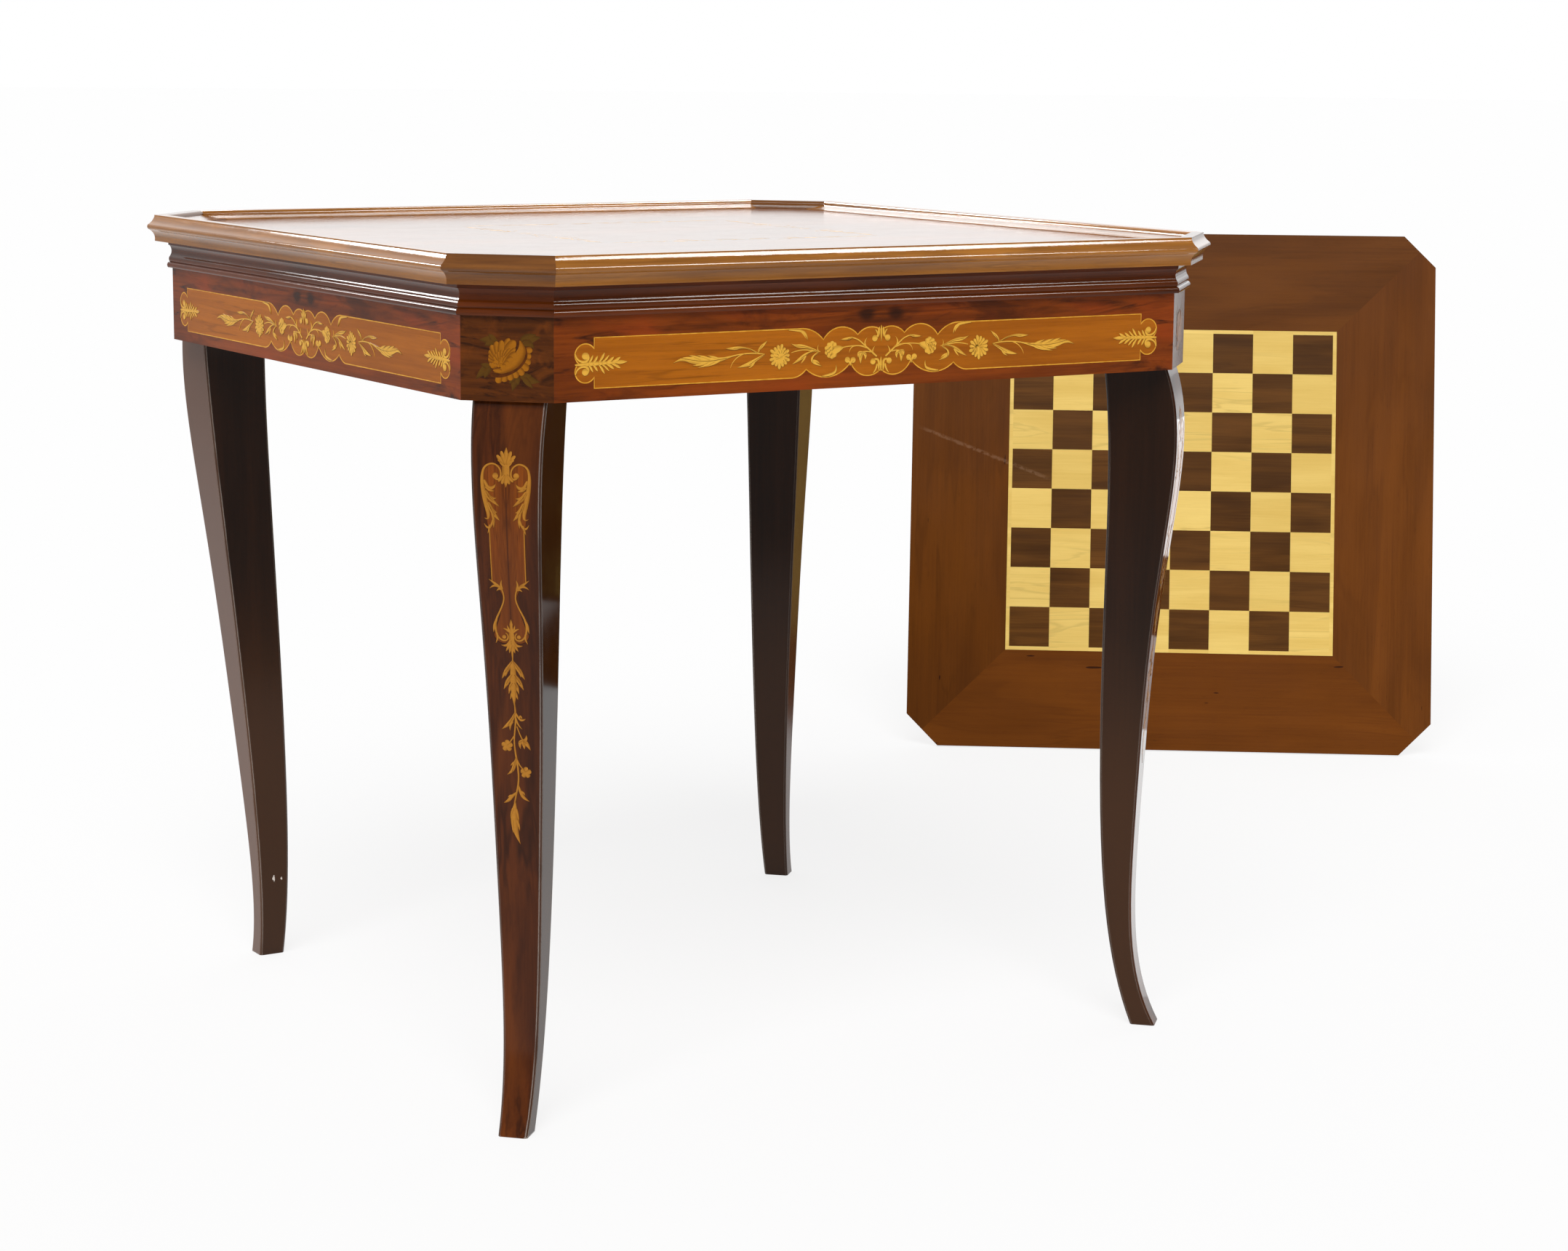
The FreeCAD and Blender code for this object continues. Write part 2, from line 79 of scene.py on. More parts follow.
BOARD_TURN = (math.radians(90.0) - BOARD_LEAN, 0.0, math.atan2(BOARD_AXIS.y, BOARD_AXIS.x))
BOARD_ACROSS = 0.713
SQUARE = 0.0545

# Wear: the scratch in board coordinates, and each chip's place, half width and half height
SCRATCH_WAY = (0.934, -0.357, 0.0)
SCRATCH_ASIDE = (0.357, 0.934, 0.0)
SCRATCH_LEVEL = 0.2864
CHIPS = (
    ((-0.3051, 0.2911, 0.0857), 1.9 * MM, 4.2 * MM),
    ((-0.2965, 0.2911, 0.0850), 1.1 * MM, 2.4 * MM),
)
CHIP_DEEP = 5 * MM

# Marquetry: how far it stands on the face, how thick it is, and the lift from stroke to stroke
PROUD = 0.05 * MM
INLAY_THICK = 0.25 * MM
LAYER = 0.1 * MM
THIN_LAYER = 0.05 * MM
STEP = 0.003 * MM
STEPS = 31
FLUSH = 0.01 * MM
FLUSH_STEP = 0.001 * MM

# Drawing of the marquetry, in millimetres
STRING_HALF = 0.52
VEIN_HALF = 0.14
CARNATION_AT = (-106.0, -1.4)
WREATH_REACH = 150.0
WREATH_SIZE = 0.68


def srgb(red, green, blue):
    """Colour as a screen shows it, made linear for a shader."""
    shares = [value / 255 for value in (red, green, blue)]
    linear = [s / 12.92 if s <= 0.04045 else ((s + 0.055) / 1.055) ** 2.4 for s in shares]
    return (*linear, 1.0)


class Value:
    """A number or colour that varies over a surface; sums on it become Math nodes."""

    def __init__(self, finish, socket):
        self.finish = finish
        self.socket = socket

    def maths(self, operation, first, second):
        return self.finish.make("ShaderNodeMath", {"operation": operation}, {0: first, 1: second})

    def __add__(self, other):
        return self.maths("ADD", self, other)

    def __sub__(self, other):
        return self.maths("SUBTRACT", self, other)

    def __rsub__(self, other):
        return self.maths("SUBTRACT", other, self)

    def __mul__(self, other):
        return self.maths("MULTIPLY", self, other)

    def __abs__(self):
        return self.maths("ABSOLUTE", self, 0.0)

    __radd__ = __add__
    __rmul__ = __mul__


class Finish:
    """A material or world under construction."""

    def __init__(self, owner):
        owner.use_nodes = True
        self.owner = owner
        self.tree = owner.node_tree
        self.tree.nodes.clear()

    def make(self, kind, settings=None, sockets=None, output=0):
        """Adds a node with its settings and the values or links of its sockets."""
        node = self.tree.nodes.new(kind)
        for name, value in (settings or {}).items():
            setattr(node, name, value)
        for name, value in (sockets or {}).items():
            if isinstance(value, Value):
                self.tree.links.new(value.socket, node.inputs[name])
            else:
                node.inputs[name].default_value = value
        return Value(self, node.outputs[output]) if node.outputs else None

    def place(self, turn=STILL, origin=STILL):
        """Object coordinates about an origin, turned so that the first axis lies along the grain."""
        spot = self.make("ShaderNodeTexCoord", output="Object")
        sockets = {"Vector": spot, "Location": origin, "Rotation": turn}
        return self.make("ShaderNodeMapping", {"vector_type": "TEXTURE"}, sockets)

    def vectors(self, operation, first, second=STILL, output=0):
        """Vector Math on one vector or two."""
        return self.make("ShaderNodeVectorMath", {"operation": operation}, {0: first, 1: second}, output)

    def part(self, vector, axis):
        return self.make("ShaderNodeSeparateXYZ", sockets={0: vector}, output=axis)

    def stretch(self, vector, scale):
        return self.vectors("MULTIPLY", vector, scale)

    def noise(self, vector, scale, detail=3.0, rough=0.55, swirl=0.0):
        sockets = {"Detail": detail, "Roughness": rough, "Distortion": swirl}
        sockets.update({"Vector": self.stretch(vector, scale), "Scale": 1.0})
        return self.make("ShaderNodeTexNoise", sockets=sockets)

    def step(self, value, low, high, start=0.0, end=1.0):
        """Smooth step from start at low to end at high."""
        sockets = {"Value": value, "From Min": low, "From Max": high, "To Min": start, "To Max": end}
        return self.make("ShaderNodeMapRange", {"interpolation_type": "SMOOTHSTEP"}, sockets)

    def mix(self, share, first, second):
        sockets = {0: share, 6: first, 7: second}
        return self.make("ShaderNodeMix", {"data_type": "RGBA"}, sockets, output=2)

    def dot(self, vector, way):
        return self.vectors("DOT_PRODUCT", vector, way, "Value")

    def length(self, vector):
        return self.vectors("LENGTH", vector, output="Value")

    def surface(self, colour, rough, height, strength, gloss, round_edge=None):
        """Closes a material with its shader, its bump and the gloss that stays constant."""
        bump = {"Height": height, "Strength": strength, "Distance": 0.3 * MM}
        if round_edge:
            bump["Normal"] = round_edge
        sockets = {"Base Color": colour, "Roughness": rough, "Normal": self.make("ShaderNodeBump", sockets=bump)}
        shader = self.make("ShaderNodeBsdfPrincipled", sockets={**sockets, **gloss})
        self.make("ShaderNodeOutputMaterial", sockets={"Surface": shader})
        return self.owner


def material(name):
    return Finish(bpy.data.materials.new(name))


LACQUER = {"IOR": 1.22}
LEG_LACQUER = {"IOR": 1.26}
FRIEZE_LACQUER = {"IOR": 1.27}
TOP_LACQUER = {"IOR": 1.42}
SATIN = {"IOR": 1.2}
BARE_METAL = {"Metallic": 1.0}


def darker(colour, share):
    return tuple(share * value for value in colour[:3]) + (1.0,)


def grain(finish, spot, pale, dark, band=34.0, fibre=430.0, run=3.2, swirl=0.5, pores=0.3, lines=0.0):
    """Veneer colour along the first axis of a place: growth bands, dark lines, fibres and short pores."""
    wide = finish.noise(spot, (run, band, band), 3.0, 0.55, swirl)
    fine = finish.noise(spot, (4 * run, fibre, fibre), 2.0, 0.6, 0.2)
    cloud = finish.noise(spot, (6.0, 9.0, 9.0), 2.0, 0.5, 0.4)
    pore = finish.noise(spot, (70.0, 1900.0, 1900.0), 1.0, 0.5)
    share = finish.step(wide * 0.62 + fine * 0.24 + cloud * 0.3, 0.36, 0.8)
    colour = finish.mix(share, dark, pale)
    if lines:
        ridge = finish.step(abs(wide - 0.5), 0.03, 0.0) * finish.step(cloud, 0.4, 0.65) * lines
        colour = finish.mix(ridge, colour, darker(dark, 0.35))
    holes = finish.step(pore, 0.62, 0.74) * pores
    return finish.mix(holes, colour, darker(dark, 0.45)), fine - holes


def veneer(name, pale, dark, turn=STILL, origin=STILL, rough=0.12, gloss=LACQUER, wave=0.0, **figure):
    """Plain veneer with its grain along one direction, under lacquer with brushed waves."""
    finish = material(name)
    spot = finish.place(turn, origin)
    colour, height = grain(finish, spot, srgb(*pale), srgb(*dark), **figure)
    smear = finish.noise(spot, (22.0, 30.0, 30.0), 3.0)
    if wave:
        height = 0.12 * height + wave * finish.noise(spot, (90.0, 240.0, 240.0), 2.0)
    return finish.surface(colour, rough + 0.1 * (smear - 0.5), height, 0.5 if wave else 0.05, gloss)


def side_turn(side):
    return (0.0, 0.0, math.radians(45.0 * side))


def rail_finish(side):
    """Red-brown walnut of a rail: dark smoky clouds, heavier at the ends and towards the top, wavy dark lines,
    and twin knots matched about the middle.
    """
    finish = material("rail_walnut_" + SIDES[side])
    spot = finish.place(side_turn(side), (0.0, 0.0, APRON_MID))
    colour, height = grain(finish, spot, srgb(146, 67, 14), srgb(92, 39, 6), 26.0, swirl=1.1, lines=0.5)
    glow = finish.noise(spot, (8.0, 16.0, 16.0), 2.0, 0.5, 0.6)
    colour = finish.mix(finish.step(glow, 0.48, 0.72) * 0.6, colour, srgb(156, 62, 16))
    folded = finish.vectors("ABSOLUTE", spot)
    smoke = finish.noise(spot, (9.0, 46.0, 46.0), 4.0, 0.62, 1.6)
    along = finish.part(folded, 0)
    high = finish.step(finish.part(spot, 2), -0.002, 0.030)
    ends = finish.step(along, 0.24, 0.31)
    # The dark clouds grow heavier towards the top of the rail and at its ends.
    cloud = finish.step(smoke, 0.47, 0.66) * (0.42 * high + 0.75 * ends + 0.12)
    colour = finish.mix(cloud, colour, srgb(42, 18, 6))
    centred = finish.vectors("ADD", folded, (-0.0155, 0.0, -0.0275))
    distance = finish.length(finish.stretch(centred, (78.0, 0.0, 120.0)))
    knot = finish.step(distance + 1.3 * (smoke - 0.5), 1.05, 0.35) * finish.step(finish.part(spot, 2), 0.0, 0.01)
    colour = finish.mix(knot * 0.8, colour, srgb(40, 18, 7))
    rough = 0.04 + 0.06 * finish.noise(spot, (25.0, 40.0, 40.0), 3.0)
    return finish.surface(colour, rough, height, 0.04, LACQUER)


def burr_finish(side):
    """Dark burr of a corner block, streaked across."""
    finish = material("corner_burr_" + SIDES[side])
    spot = finish.place(side_turn(side), (0.0, 0.0, APRON_MID))
    colour, height = grain(finish, spot, srgb(98, 50, 13), srgb(62, 29, 7), 60.0, swirl=2.0, lines=0.4)
    streak = finish.noise(spot, (13.0, 60.0, 60.0), 4.0, 0.62, 2.2)
    colour = finish.mix(finish.step(streak, 0.5, 0.68) * 0.75, colour, srgb(30, 13, 5))
    knot = finish.noise(spot, (40.0, 60.0, 60.0), 3.0, 0.6, 1.0)
    colour = finish.mix(finish.step(knot, 0.52, 0.75) * 0.5, colour, srgb(116, 58, 15))
    return finish.surface(colour, 0.05 + 0.06 * knot, height, 0.04, LACQUER)


def leg_place(finish, place, outward):
    """Leg coordinates: first axis up from the foot, second across the outer face."""
    turn = (0.0, math.radians(-90.0), math.atan2(outward.y, outward.x))
    return finish.place(turn, place.translation)


def chipped(finish, colour):
    """Colour with the pale chips by the foot of the back left leg."""
    for chip, wide, high in CHIPS:
        spot = finish.place(origin=chip)
        distance = finish.length(finish.stretch(spot, (1 / wide, 1 / CHIP_DEEP, 1 / high)))
        flecks = finish.noise(spot, (700.0, 700.0, 350.0), 2.0)
        share = finish.step(distance + 3.0 * (flecks - 0.5), 0.8, 0.6) * 0.85
        colour = finish.mix(share, colour, srgb(230, 220, 210))
    return colour


def leg_finish(corner, place, outward):
    """Leg: reddish veneer on the outer face, dark stained wood on the other sides, lighter low down by a painted
    reflection; arrises worn pale with a painted highlight.
    """
    finish = material("leg_walnut_" + corner)
    spot = leg_place(finish, place, outward)
    veneered, height = grain(finish, spot, srgb(87, 40, 10), srgb(48, 20, 5), 30.0, run=2.0, swirl=0.9, lines=0.6)
    honey = finish.noise(spot, (2.4, 24.0, 24.0), 2.0, 0.5, 0.9)
    veneered = finish.mix(finish.step(honey, 0.5, 0.7) * 0.5, veneered, srgb(106, 53, 13))
    smoke = finish.noise(spot, (5.0, 34.0, 34.0), 4.0, 0.6, 1.3)
    veneered = finish.mix(finish.step(smoke, 0.52, 0.7) * 0.55, veneered, srgb(40, 16, 5))
    stain_and_low_reflection, _ = grain(finish, spot, srgb(42, 21, 7), srgb(26, 12, 4), 40.0, run=2.0)
    level = finish.part(spot, 0)
    # Painted reflection: the stained sides turn lighter towards the foot.
    stain_and_low_reflection = finish.mix(finish.step(level, 0.44, 0.2) * 0.8, stain_and_low_reflection, srgb(66, 40, 21))
    way = finish.make("ShaderNodeTexCoord", output="Normal")
    outer = finish.step(finish.dot(way, outward), 0.62, 0.80)
    colour = finish.mix(outer, stain_and_low_reflection, veneered)
    rough = 0.03 + 0.05 * finish.noise(spot, (14.0, 40.0, 40.0), 3.0)
    if corner == "br":
        # The right face of this leg is rougher, and lighter by a painted reflection.
        right_face = finish.step(finish.dot(way, (1.0, 0.0, 0.0)), 0.5, 0.8)
        rough = rough + 0.25 * right_face
        colour = finish.mix(right_face * 0.6, colour, srgb(98, 50, 16))
    sway = Vector(place.col[1][:3]).dot(Vector(place.col[0][:3]))
    aside = finish.part(spot, 1) - sway * level
    across = abs(aside)
    half = LEG_FOOT / 2 + (LEG_TOP - LEG_FOOT) / 2 / LEG_HEIGHT * level
    corner_edge = finish.step(across - half, -3.4 * MM, -2.6 * MM)
    plain = finish.make("ShaderNodeNewGeometry", output="Normal")
    rounded = finish.make("ShaderNodeBevel", {"samples": 6}, {"Radius": LEG_ROUND})
    round_edge = finish.mix(corner_edge, plain, rounded)
    turned = finish.dot(plain, round_edge)
    # Arrises: patchy wear and a painted highlight, a pale colour where the rounded normal turns from the face,
    # stronger on the right arris.
    patchy = finish.step(finish.noise(spot, (9.0, 30.0, 30.0), 2.0), 0.25, 0.5)
    arris_wear_and_highlight = finish.step(turned, 0.985, 0.90) * patchy * finish.step(aside, 0.0, 5 * MM, 0.3, 0.9)
    colour = finish.mix(arris_wear_and_highlight, colour, srgb(190, 178, 168))
    if corner == "bl":
        # Painted reflection: the left face of this leg is lighter; the chips are wear.
        left_face = finish.step(finish.dot(way, (-1.0, 0.0, 0.0)), 0.6, 0.85)
        colour = chipped(finish, finish.mix(left_face * 0.7, colour, srgb(112, 80, 64)))
    return finish.surface(colour, rough, height, 0.02, LEG_LACQUER, round_edge)


def lyre_finish(corner, place, outward):
    """Inlaid panel of a leg: two matched leaves of pale walnut with a dark seam between them."""
    finish = material("lyre_walnut_" + corner)
    spot = leg_place(finish, place, outward)
    across = abs(finish.part(spot, 1))
    tilt = finish.make("ShaderNodeCombineXYZ", sockets={0: finish.part(spot, 0) + 1.4 * across, 1: across})
    colour, height = grain(finish, tilt, srgb(140, 71, 15), srgb(90, 42, 8), 60.0, run=5.0, swirl=0.6, lines=0.5)
    middle = finish.step(across, 0.012, 0.0) * 0.4 + finish.step(across, 0.0009, 0.0003) * 0.5
    colour = finish.mix(middle, colour, srgb(66, 30, 9))
    return finish.surface(colour, 0.06 + 0.05 * height, height, 0.04, LEG_LACQUER)


def board_place(finish, turn=0.0):
    """Board coordinates: first axis along its lower edge, second up its face."""
    flat = finish.place(BOARD_TURN, BOARD_PIVOT)
    if not turn:
        return flat
    sockets = {"Vector": flat, "Rotation": (0.0, 0.0, turn)}
    return finish.make("ShaderNodeMapping", {"vector_type": "TEXTURE"}, sockets)


def scratched(finish, colour):
    """Colour with the pale scratch that runs down from the board's left edge."""
    spot = board_place(finish)
    along = finish.dot(spot, SCRATCH_WAY)
    worn = finish.noise(spot, (170.0, 170.0, 170.0), 3.0, 0.6)
    aside = finish.dot(spot, SCRATCH_ASIDE) - SCRATCH_LEVEL + 0.003 * (worn - 0.5)
    line = finish.step(abs(aside), 3.6 * MM, 0.8 * MM) * finish.step(worn, 0.3, 0.6)
    ends = finish.step(along, -0.487, -0.46) * finish.step(along, -0.282, -0.305)
    return finish.mix(line * ends * 0.14, colour, srgb(190, 150, 118))


def border_finish(name, turn, pale, dark):
    """Walnut border of the board, its grain along one side, with a few dark flecks."""
    finish = material("board_walnut_" + name)
    spot = board_place(finish, turn)
    colour, height = grain(finish, spot, srgb(*pale), srgb(*dark), 20.0, run=2.2, swirl=0.8, lines=0.18)
    tint = finish.noise(spot, (2.5, 5.0, 5.0), 2.0)
    colour = finish.mix(finish.step(tint, 0.42, 0.65) * 0.3, colour, srgb(*dark))
    fleck = finish.noise(spot, (24.0, 130.0, 130.0), 1.0, 0.4)
    colour = finish.mix(finish.step(fleck, 0.775, 0.80) * 0.85, colour, srgb(36, 16, 7))
    if name == "left":
        colour = scratched(finish, colour)
    rough = 0.18 + 0.1 * finish.noise(spot, (12.0, 30.0, 30.0), 2.0)
    return finish.surface(colour, rough, height, 0.06, SATIN)


def field_finish(name, pale, dark, band, swirl=0.7):
    """Fields of the board; each square has its own cut of veneer."""
    finish = material(name)
    spot = board_place(finish)
    low = BOARD_ACROSS / 2 - 4 * SQUARE
    shifted = finish.vectors("ADD", spot, (0.0, -low, 0.0))
    cell = finish.vectors("FLOOR", finish.stretch(shifted, (1 / SQUARE, 1 / SQUARE, 0.0)))
    chance = finish.make("ShaderNodeTexWhiteNoise", {"noise_dimensions": "3D"}, {"Vector": cell}, "Color")
    cut = finish.vectors("ADD", spot, finish.stretch(chance, (3.0, 3.0, 3.0)))
    colour, height = grain(finish, cut, srgb(*pale), srgb(*dark), band, 520.0, 3.4, swirl, 0.12, 0.25)
    colour = finish.mix(finish.part(chance, 0) * 0.3, colour, darker(srgb(*dark), 0.85))
    if name == "walnut_fields":
        colour = scratched(finish, colour)
    rough = 0.2 + 0.1 * finish.noise(spot, (12.0, 30.0, 30.0), 2.0)
    return finish.surface(colour, rough, height, 0.05, SATIN)


def marquetry_finish(name, pale, shade, deep=0.6):
    """Cut veneer, scorched darker at its root and along its edge."""
    finish = material(name)
    chart = finish.make("ShaderNodeTexCoord", output="UV")
    across = abs(finish.part(chart, 0) - 0.5)
    along = finish.part(chart, 1)
    spot = finish.place()
    fibre = finish.noise(spot, (260.0, 260.0, 900.0), 2.0, 0.5)
    cloud = finish.noise(spot, (120.0, 120.0, 120.0), 2.0, 0.5)
    colour = finish.mix(finish.step(fibre, 0.3, 0.7) * 0.3, srgb(*pale), srgb(*[0.88 * v for v in pale]))
    root = finish.step(along, 0.5, 0.0) * 0.8
    edge = finish.step(across, 0.38, 0.5) * 0.4
    colour = finish.mix((root + edge + 0.4 * cloud - 0.12) * deep, colour, srgb(*shade))
    return finish.surface(colour, 0.12 + 0.06 * cloud, fibre, 0.03, LACQUER)


def line_finish(name, pale, dark):
    """Narrow strip or dark cut between pieces of veneer."""
    finish = material(name)
    spot = finish.place()
    tone = finish.noise(spot, (140.0, 140.0, 140.0), 2.0, 0.5)
    colour = finish.mix(finish.step(tone, 0.35, 0.7), srgb(*pale), srgb(*dark))
    return finish.surface(colour, 0.13 + 0.06 * tone, tone, 0.03, LACQUER)


def metal_finish(name, colour, dull):
    """Turned metal with fine marks."""
    finish = material(name)
    spot = finish.place()
    marks = finish.noise(spot, (300.0, 300.0, 2600.0), 2.0, 0.5)
    stain = finish.noise(spot, (160.0, 160.0, 160.0), 3.0, 0.6)
    shade = finish.mix(finish.step(stain, 0.45, 0.75) * 0.6, srgb(*colour), srgb(*dull))
    return finish.surface(shade, 0.28 + 0.25 * stain, marks, 0.1, BARE_METAL)


def dress(name, finish):
    """Gives a CAD node its finish."""
    node = nodes[name]
    node.data.materials.clear()
    node.data.materials.append(finish)


def rotated(side):
    return Matrix.Rotation(math.radians(45.0 * side), 4, "Z")


def face_place(side, reach, level):
    """Flat drawing to an upright face: along the side, up, and outwards."""
    flat = Matrix(((1, 0, 0, 0), (0, 0, -1, -reach), (0, 1, 0, level), (0, 0, 0, 1)))
    return rotated(side) @ flat


def mirrored(strokes):
    return [[(-x, y, half) for x, y, half in stroke] for stroke in strokes]


def flipped(strokes):
    return [[(x, -y, half) for x, y, half in stroke] for stroke in strokes]


def moved(strokes, x0, y0, size=1.0, turn=0.0):
    """Strokes drawn about their own middle, set at a place."""
    c, s = math.cos(turn) * size, math.sin(turn) * size
    return [
        [(x0 + c * x - s * y, y0 + s * x + c * y, size * half) for x, y, half in stroke]
        for stroke in strokes
    ]


def petal(x0, y0, x1, y1, half):
    """Round-ended petal from its root to its tip."""
    steps = ((0.0, 0.35), (0.35, 0.85), (0.75, 1.0), (0.97, 0.62), (1.0, 0.1))
    return [(x0 + (x1 - x0) * share, y0 + (y1 - y0) * share, half * wide) for share, wide in steps]


def petals(x0, y0, rows):
    """Petals spread from one root by angle, length and half width."""
    spread = [(math.radians(angle), length, half) for angle, length, half in rows]
    return [petal(x0, y0, x0 + r * math.cos(a), y0 + r * math.sin(a), half) for a, r, half in spread]


def ball(x, y, radius):
    """Round dot, as a short stroke."""
    rows = [(math.cos(angle), math.sin(angle)) for angle in [math.pi * step / 8 for step in range(9)]]
    return [(x - radius * c, y, max(radius * s, 0.02)) for c, s in rows]


def veins_of(strokes, least=1.15):
    """Fine dark line down the middle of each broad stroke."""
    lines = []
    for stroke in strokes:
        if max(point[2] for point in stroke) >= least and 2 < len(stroke) < 7:
            inner = stroke[:-1]
            lines.append([(x, y, VEIN_HALF) for x, y, half in inner])
    return lines


def carnation(x0, y0):
    """Ragged flower seen from the side: a wide ring of notched petals and a smaller head before it."""
    ring = [(24.0 * step + 5.0, 10.4 + 1.0 * math.sin(2.4 * step), 1.9) for step in range(15)]
    head = [(20.0 * step - 50.0, 6.6 + 0.7 * math.sin(1.9 * step), 1.5) for step in range(13)]
    heart = [(30.0 * step - 40.0, 3.6, 1.1) for step in range(8)]
    return petals(x0, y0, ring) + petals(x0 + 1.6, y0 - 0.4, head) + petals(x0 + 2.4, y0 - 0.6, heart)


def carnation_lines(x0, y0):
    """Cuts between the petals."""
    lines = []
    for step in range(15):
        angle = math.radians(24.0 * step + 17.0)
        c, s = math.cos(angle), math.sin(angle)
        lines.append([(x0 + r * c, y0 + r * s, VEIN_HALF) for r in (6.6, 8.0, 9.6)])
    for step in range(9):
        angle = math.radians(30.0 * step - 60.0)
        c, s = math.cos(angle), math.sin(angle)
        lines.append([(x0 + 2.0 + r * c, y0 - 0.5 + r * s, VEIN_HALF) for r in (3.4, 4.6, 6.0)])
    return lines


def blossom(x0, y0, radius):
    """Small flower of five round petals."""
    return petals(x0, y0, [(90.0 + 72.0 * step, radius, 0.42 * radius) for step in range(5)])


def scorched(strokes, least=0.85):
    """Dark edge that shows at one side of each broad stroke."""
    edges = []
    for stroke in strokes:
        if max(point[2] for point in stroke) >= least:
            edges.append([(x + 0.1, y - 0.16, half + 0.12) for x, y, half in stroke])
    return edges


# Marquetry of a rail, left half, in millimetres from the middle of its panel
SPRAY = [
    [(-121, 1.0, 0.5), (-129, 2.7, 0.6), (-146, 2.3, 0.55), (-157, 0.3, 0.6), (-163, -1.2, 1.4)],
    [(-160, -0.6, 0.8), (-167, -1.8, 2.0), (-179, -2.6, 3.3), (-192, -1.6, 3.4), (-205, 1.2, 1.2),
     (-213, -2.8, 0.05)],
    [(-168, -1.0, 1.0), (-174, 1.3, 0.9), (-180, 2.4, 0.05)],
    [(-177, -0.8, 1.2), (-184, 1.9, 1.0), (-190, 3.0, 0.05)],
    [(-186, -0.4, 1.2), (-192, 2.2, 1.0), (-198, 3.4, 0.05)],
    [(-167, -2.6, 1.0), (-173, -5.4, 1.0), (-181, -7.4, 0.05)],
    [(-173, -3.0, 1.2), (-181, -6.6, 1.1), (-189, -7.8, 0.05)],
    [(-180, -3.5, 1.3), (-187, -5.6, 1.1), (-194, -5.8, 0.05)],
    [(-129, 2.7, 0.6), (-136, 6.3, 0.5), (-145, 8.2, 0.7), (-153, 7.2, 1.9), (-161, 7.6, 0.05)],
    [(-128, 2.7, 0.6), (-127, 6.0, 0.9), (-123, 9.3, 1.6), (-118.6, 13.0, 0.05)],
    [(-142, 2.5, 0.5), (-153, -0.5, 0.5), (-156, -9.4, 0.1)],
    [(-121.3, 1.0, 0.5), (-128.5, -2.4, 1.1), (-137, -7.4, 2.5), (-149, -9.4, 0.05)],
    [(-131, -4.2, 0.8), (-134, -9.0, 0.9), (-138, -10.5, 0.05)],
    [(-94, 1.5, 0.45), (-85, 3.7, 0.5), (-76, 3.2, 0.55), (-64, 1.2, 0.5)],
    [(-66, 1.4, 0.6), (-76, 5.4, 0.9), (-85, 6.8, 2.0), (-90, 7.2, 0.9), (-94.5, 9.4, 0.05)],
    [(-70, 2.0, 0.6), (-78, 0.4, 0.8), (-84, -4.2, 2.1), (-93, -9.0, 0.05)],
    [(-79, -2.4, 0.7), (-82, -6.6, 0.8), (-84, -8.6, 0.05)],
    [(-66, 0.8, 0.6), (-73, -3.6, 0.9), (-71.5, -8.4, 1.9), (-62, -11.8, 0.05)],
    [(-71, -6.0, 0.7), (-66.5, -7.4, 0.8), (-64.5, -9.4, 0.05)],
    [(-65.5, 1.2, 0.4), (-68, 3.6, 0.5), (-66, 7.4, 0.05)],
    [(-42, 3.8, 0.5), (-30, 6.0, 0.5), (-18.4, 4.3, 0.6)],
    [(-5.0, -5.2, 0.9), (-12.6, 0.9, 0.8), (-18.4, 5.6, 0.7), (-25, 11.0, 0.6), (-35, 13.2, 0.6),
     (-44, 10.6, 0.05)],
    [(-30, 12.6, 0.5), (-35.5, 11.2, 1.8), (-42.5, 11.0, 0.05)],
    [(-16.5, 4.4, 0.6), (-18.0, 8.2, 0.7), (-15.0, 12.0, 0.05)],
    [(-14, 2.2, 0.6), (-25.0, 5.6, 0.5), (-33.0, 3.6, 0.5), (-33.8, -1.2, 0.05)],
    [(-9.0, -1.6, 0.6), (-9.0, 1.2, 0.6), (-6.6, 4.2, 0.05)],
    [(-11, -1.4, 0.5), (-15.5, 0.0, 0.5), (-20.5, -1.2, 0.6)],
    [(-20, -1.0, 0.8), (-24.5, -1.8, 2.0), (-24.0, -6.0, 0.05)],
    [(-20, -1.4, 1.2), (-22.2, -6.0, 2.1), (-21.4, -11.4, 0.05)],
    [(-19.6, -1.4, 0.8), (-15.6, -3.6, 1.9), (-17.0, -8.0, 0.05)],
    [(-97, 21.4, 0.5), (-86, 21.2, 1.3), (-78, 17.4, 1.0), (-77.6, 11.6, 0.05)],
    [(-84, 19.6, 0.7), (-79.5, 15.6, 0.8), (-79.6, 13.4, 0.05)],
    [(-62, -20.6, 0.5), (-53, -19.8, 1.3), (-46.4, -16.6, 1.0), (-47.6, -10.8, 0.05)],
]
ROSE = petals(-49.0, 2.4, (
    (118, 8.4, 2.6), (146, 9.6, 2.6), (172, 10.6, 2.6), (198, 10.6, 2.6), (222, 9.8, 2.6), (246, 8.8, 2.5),
    (95, 6.4, 2.4), (268, 7.0, 2.4), (160, 7.0, 2.2), (190, 7.2, 2.2), (220, 6.8, 2.2), (175, 4.4, 1.9),
    (210, 4.4, 1.9),
)) + [[(-50.0, 1.6, 3.6), (-45.0, 3.2, 3.4), (-40.0, 4.0, 0.6)]]
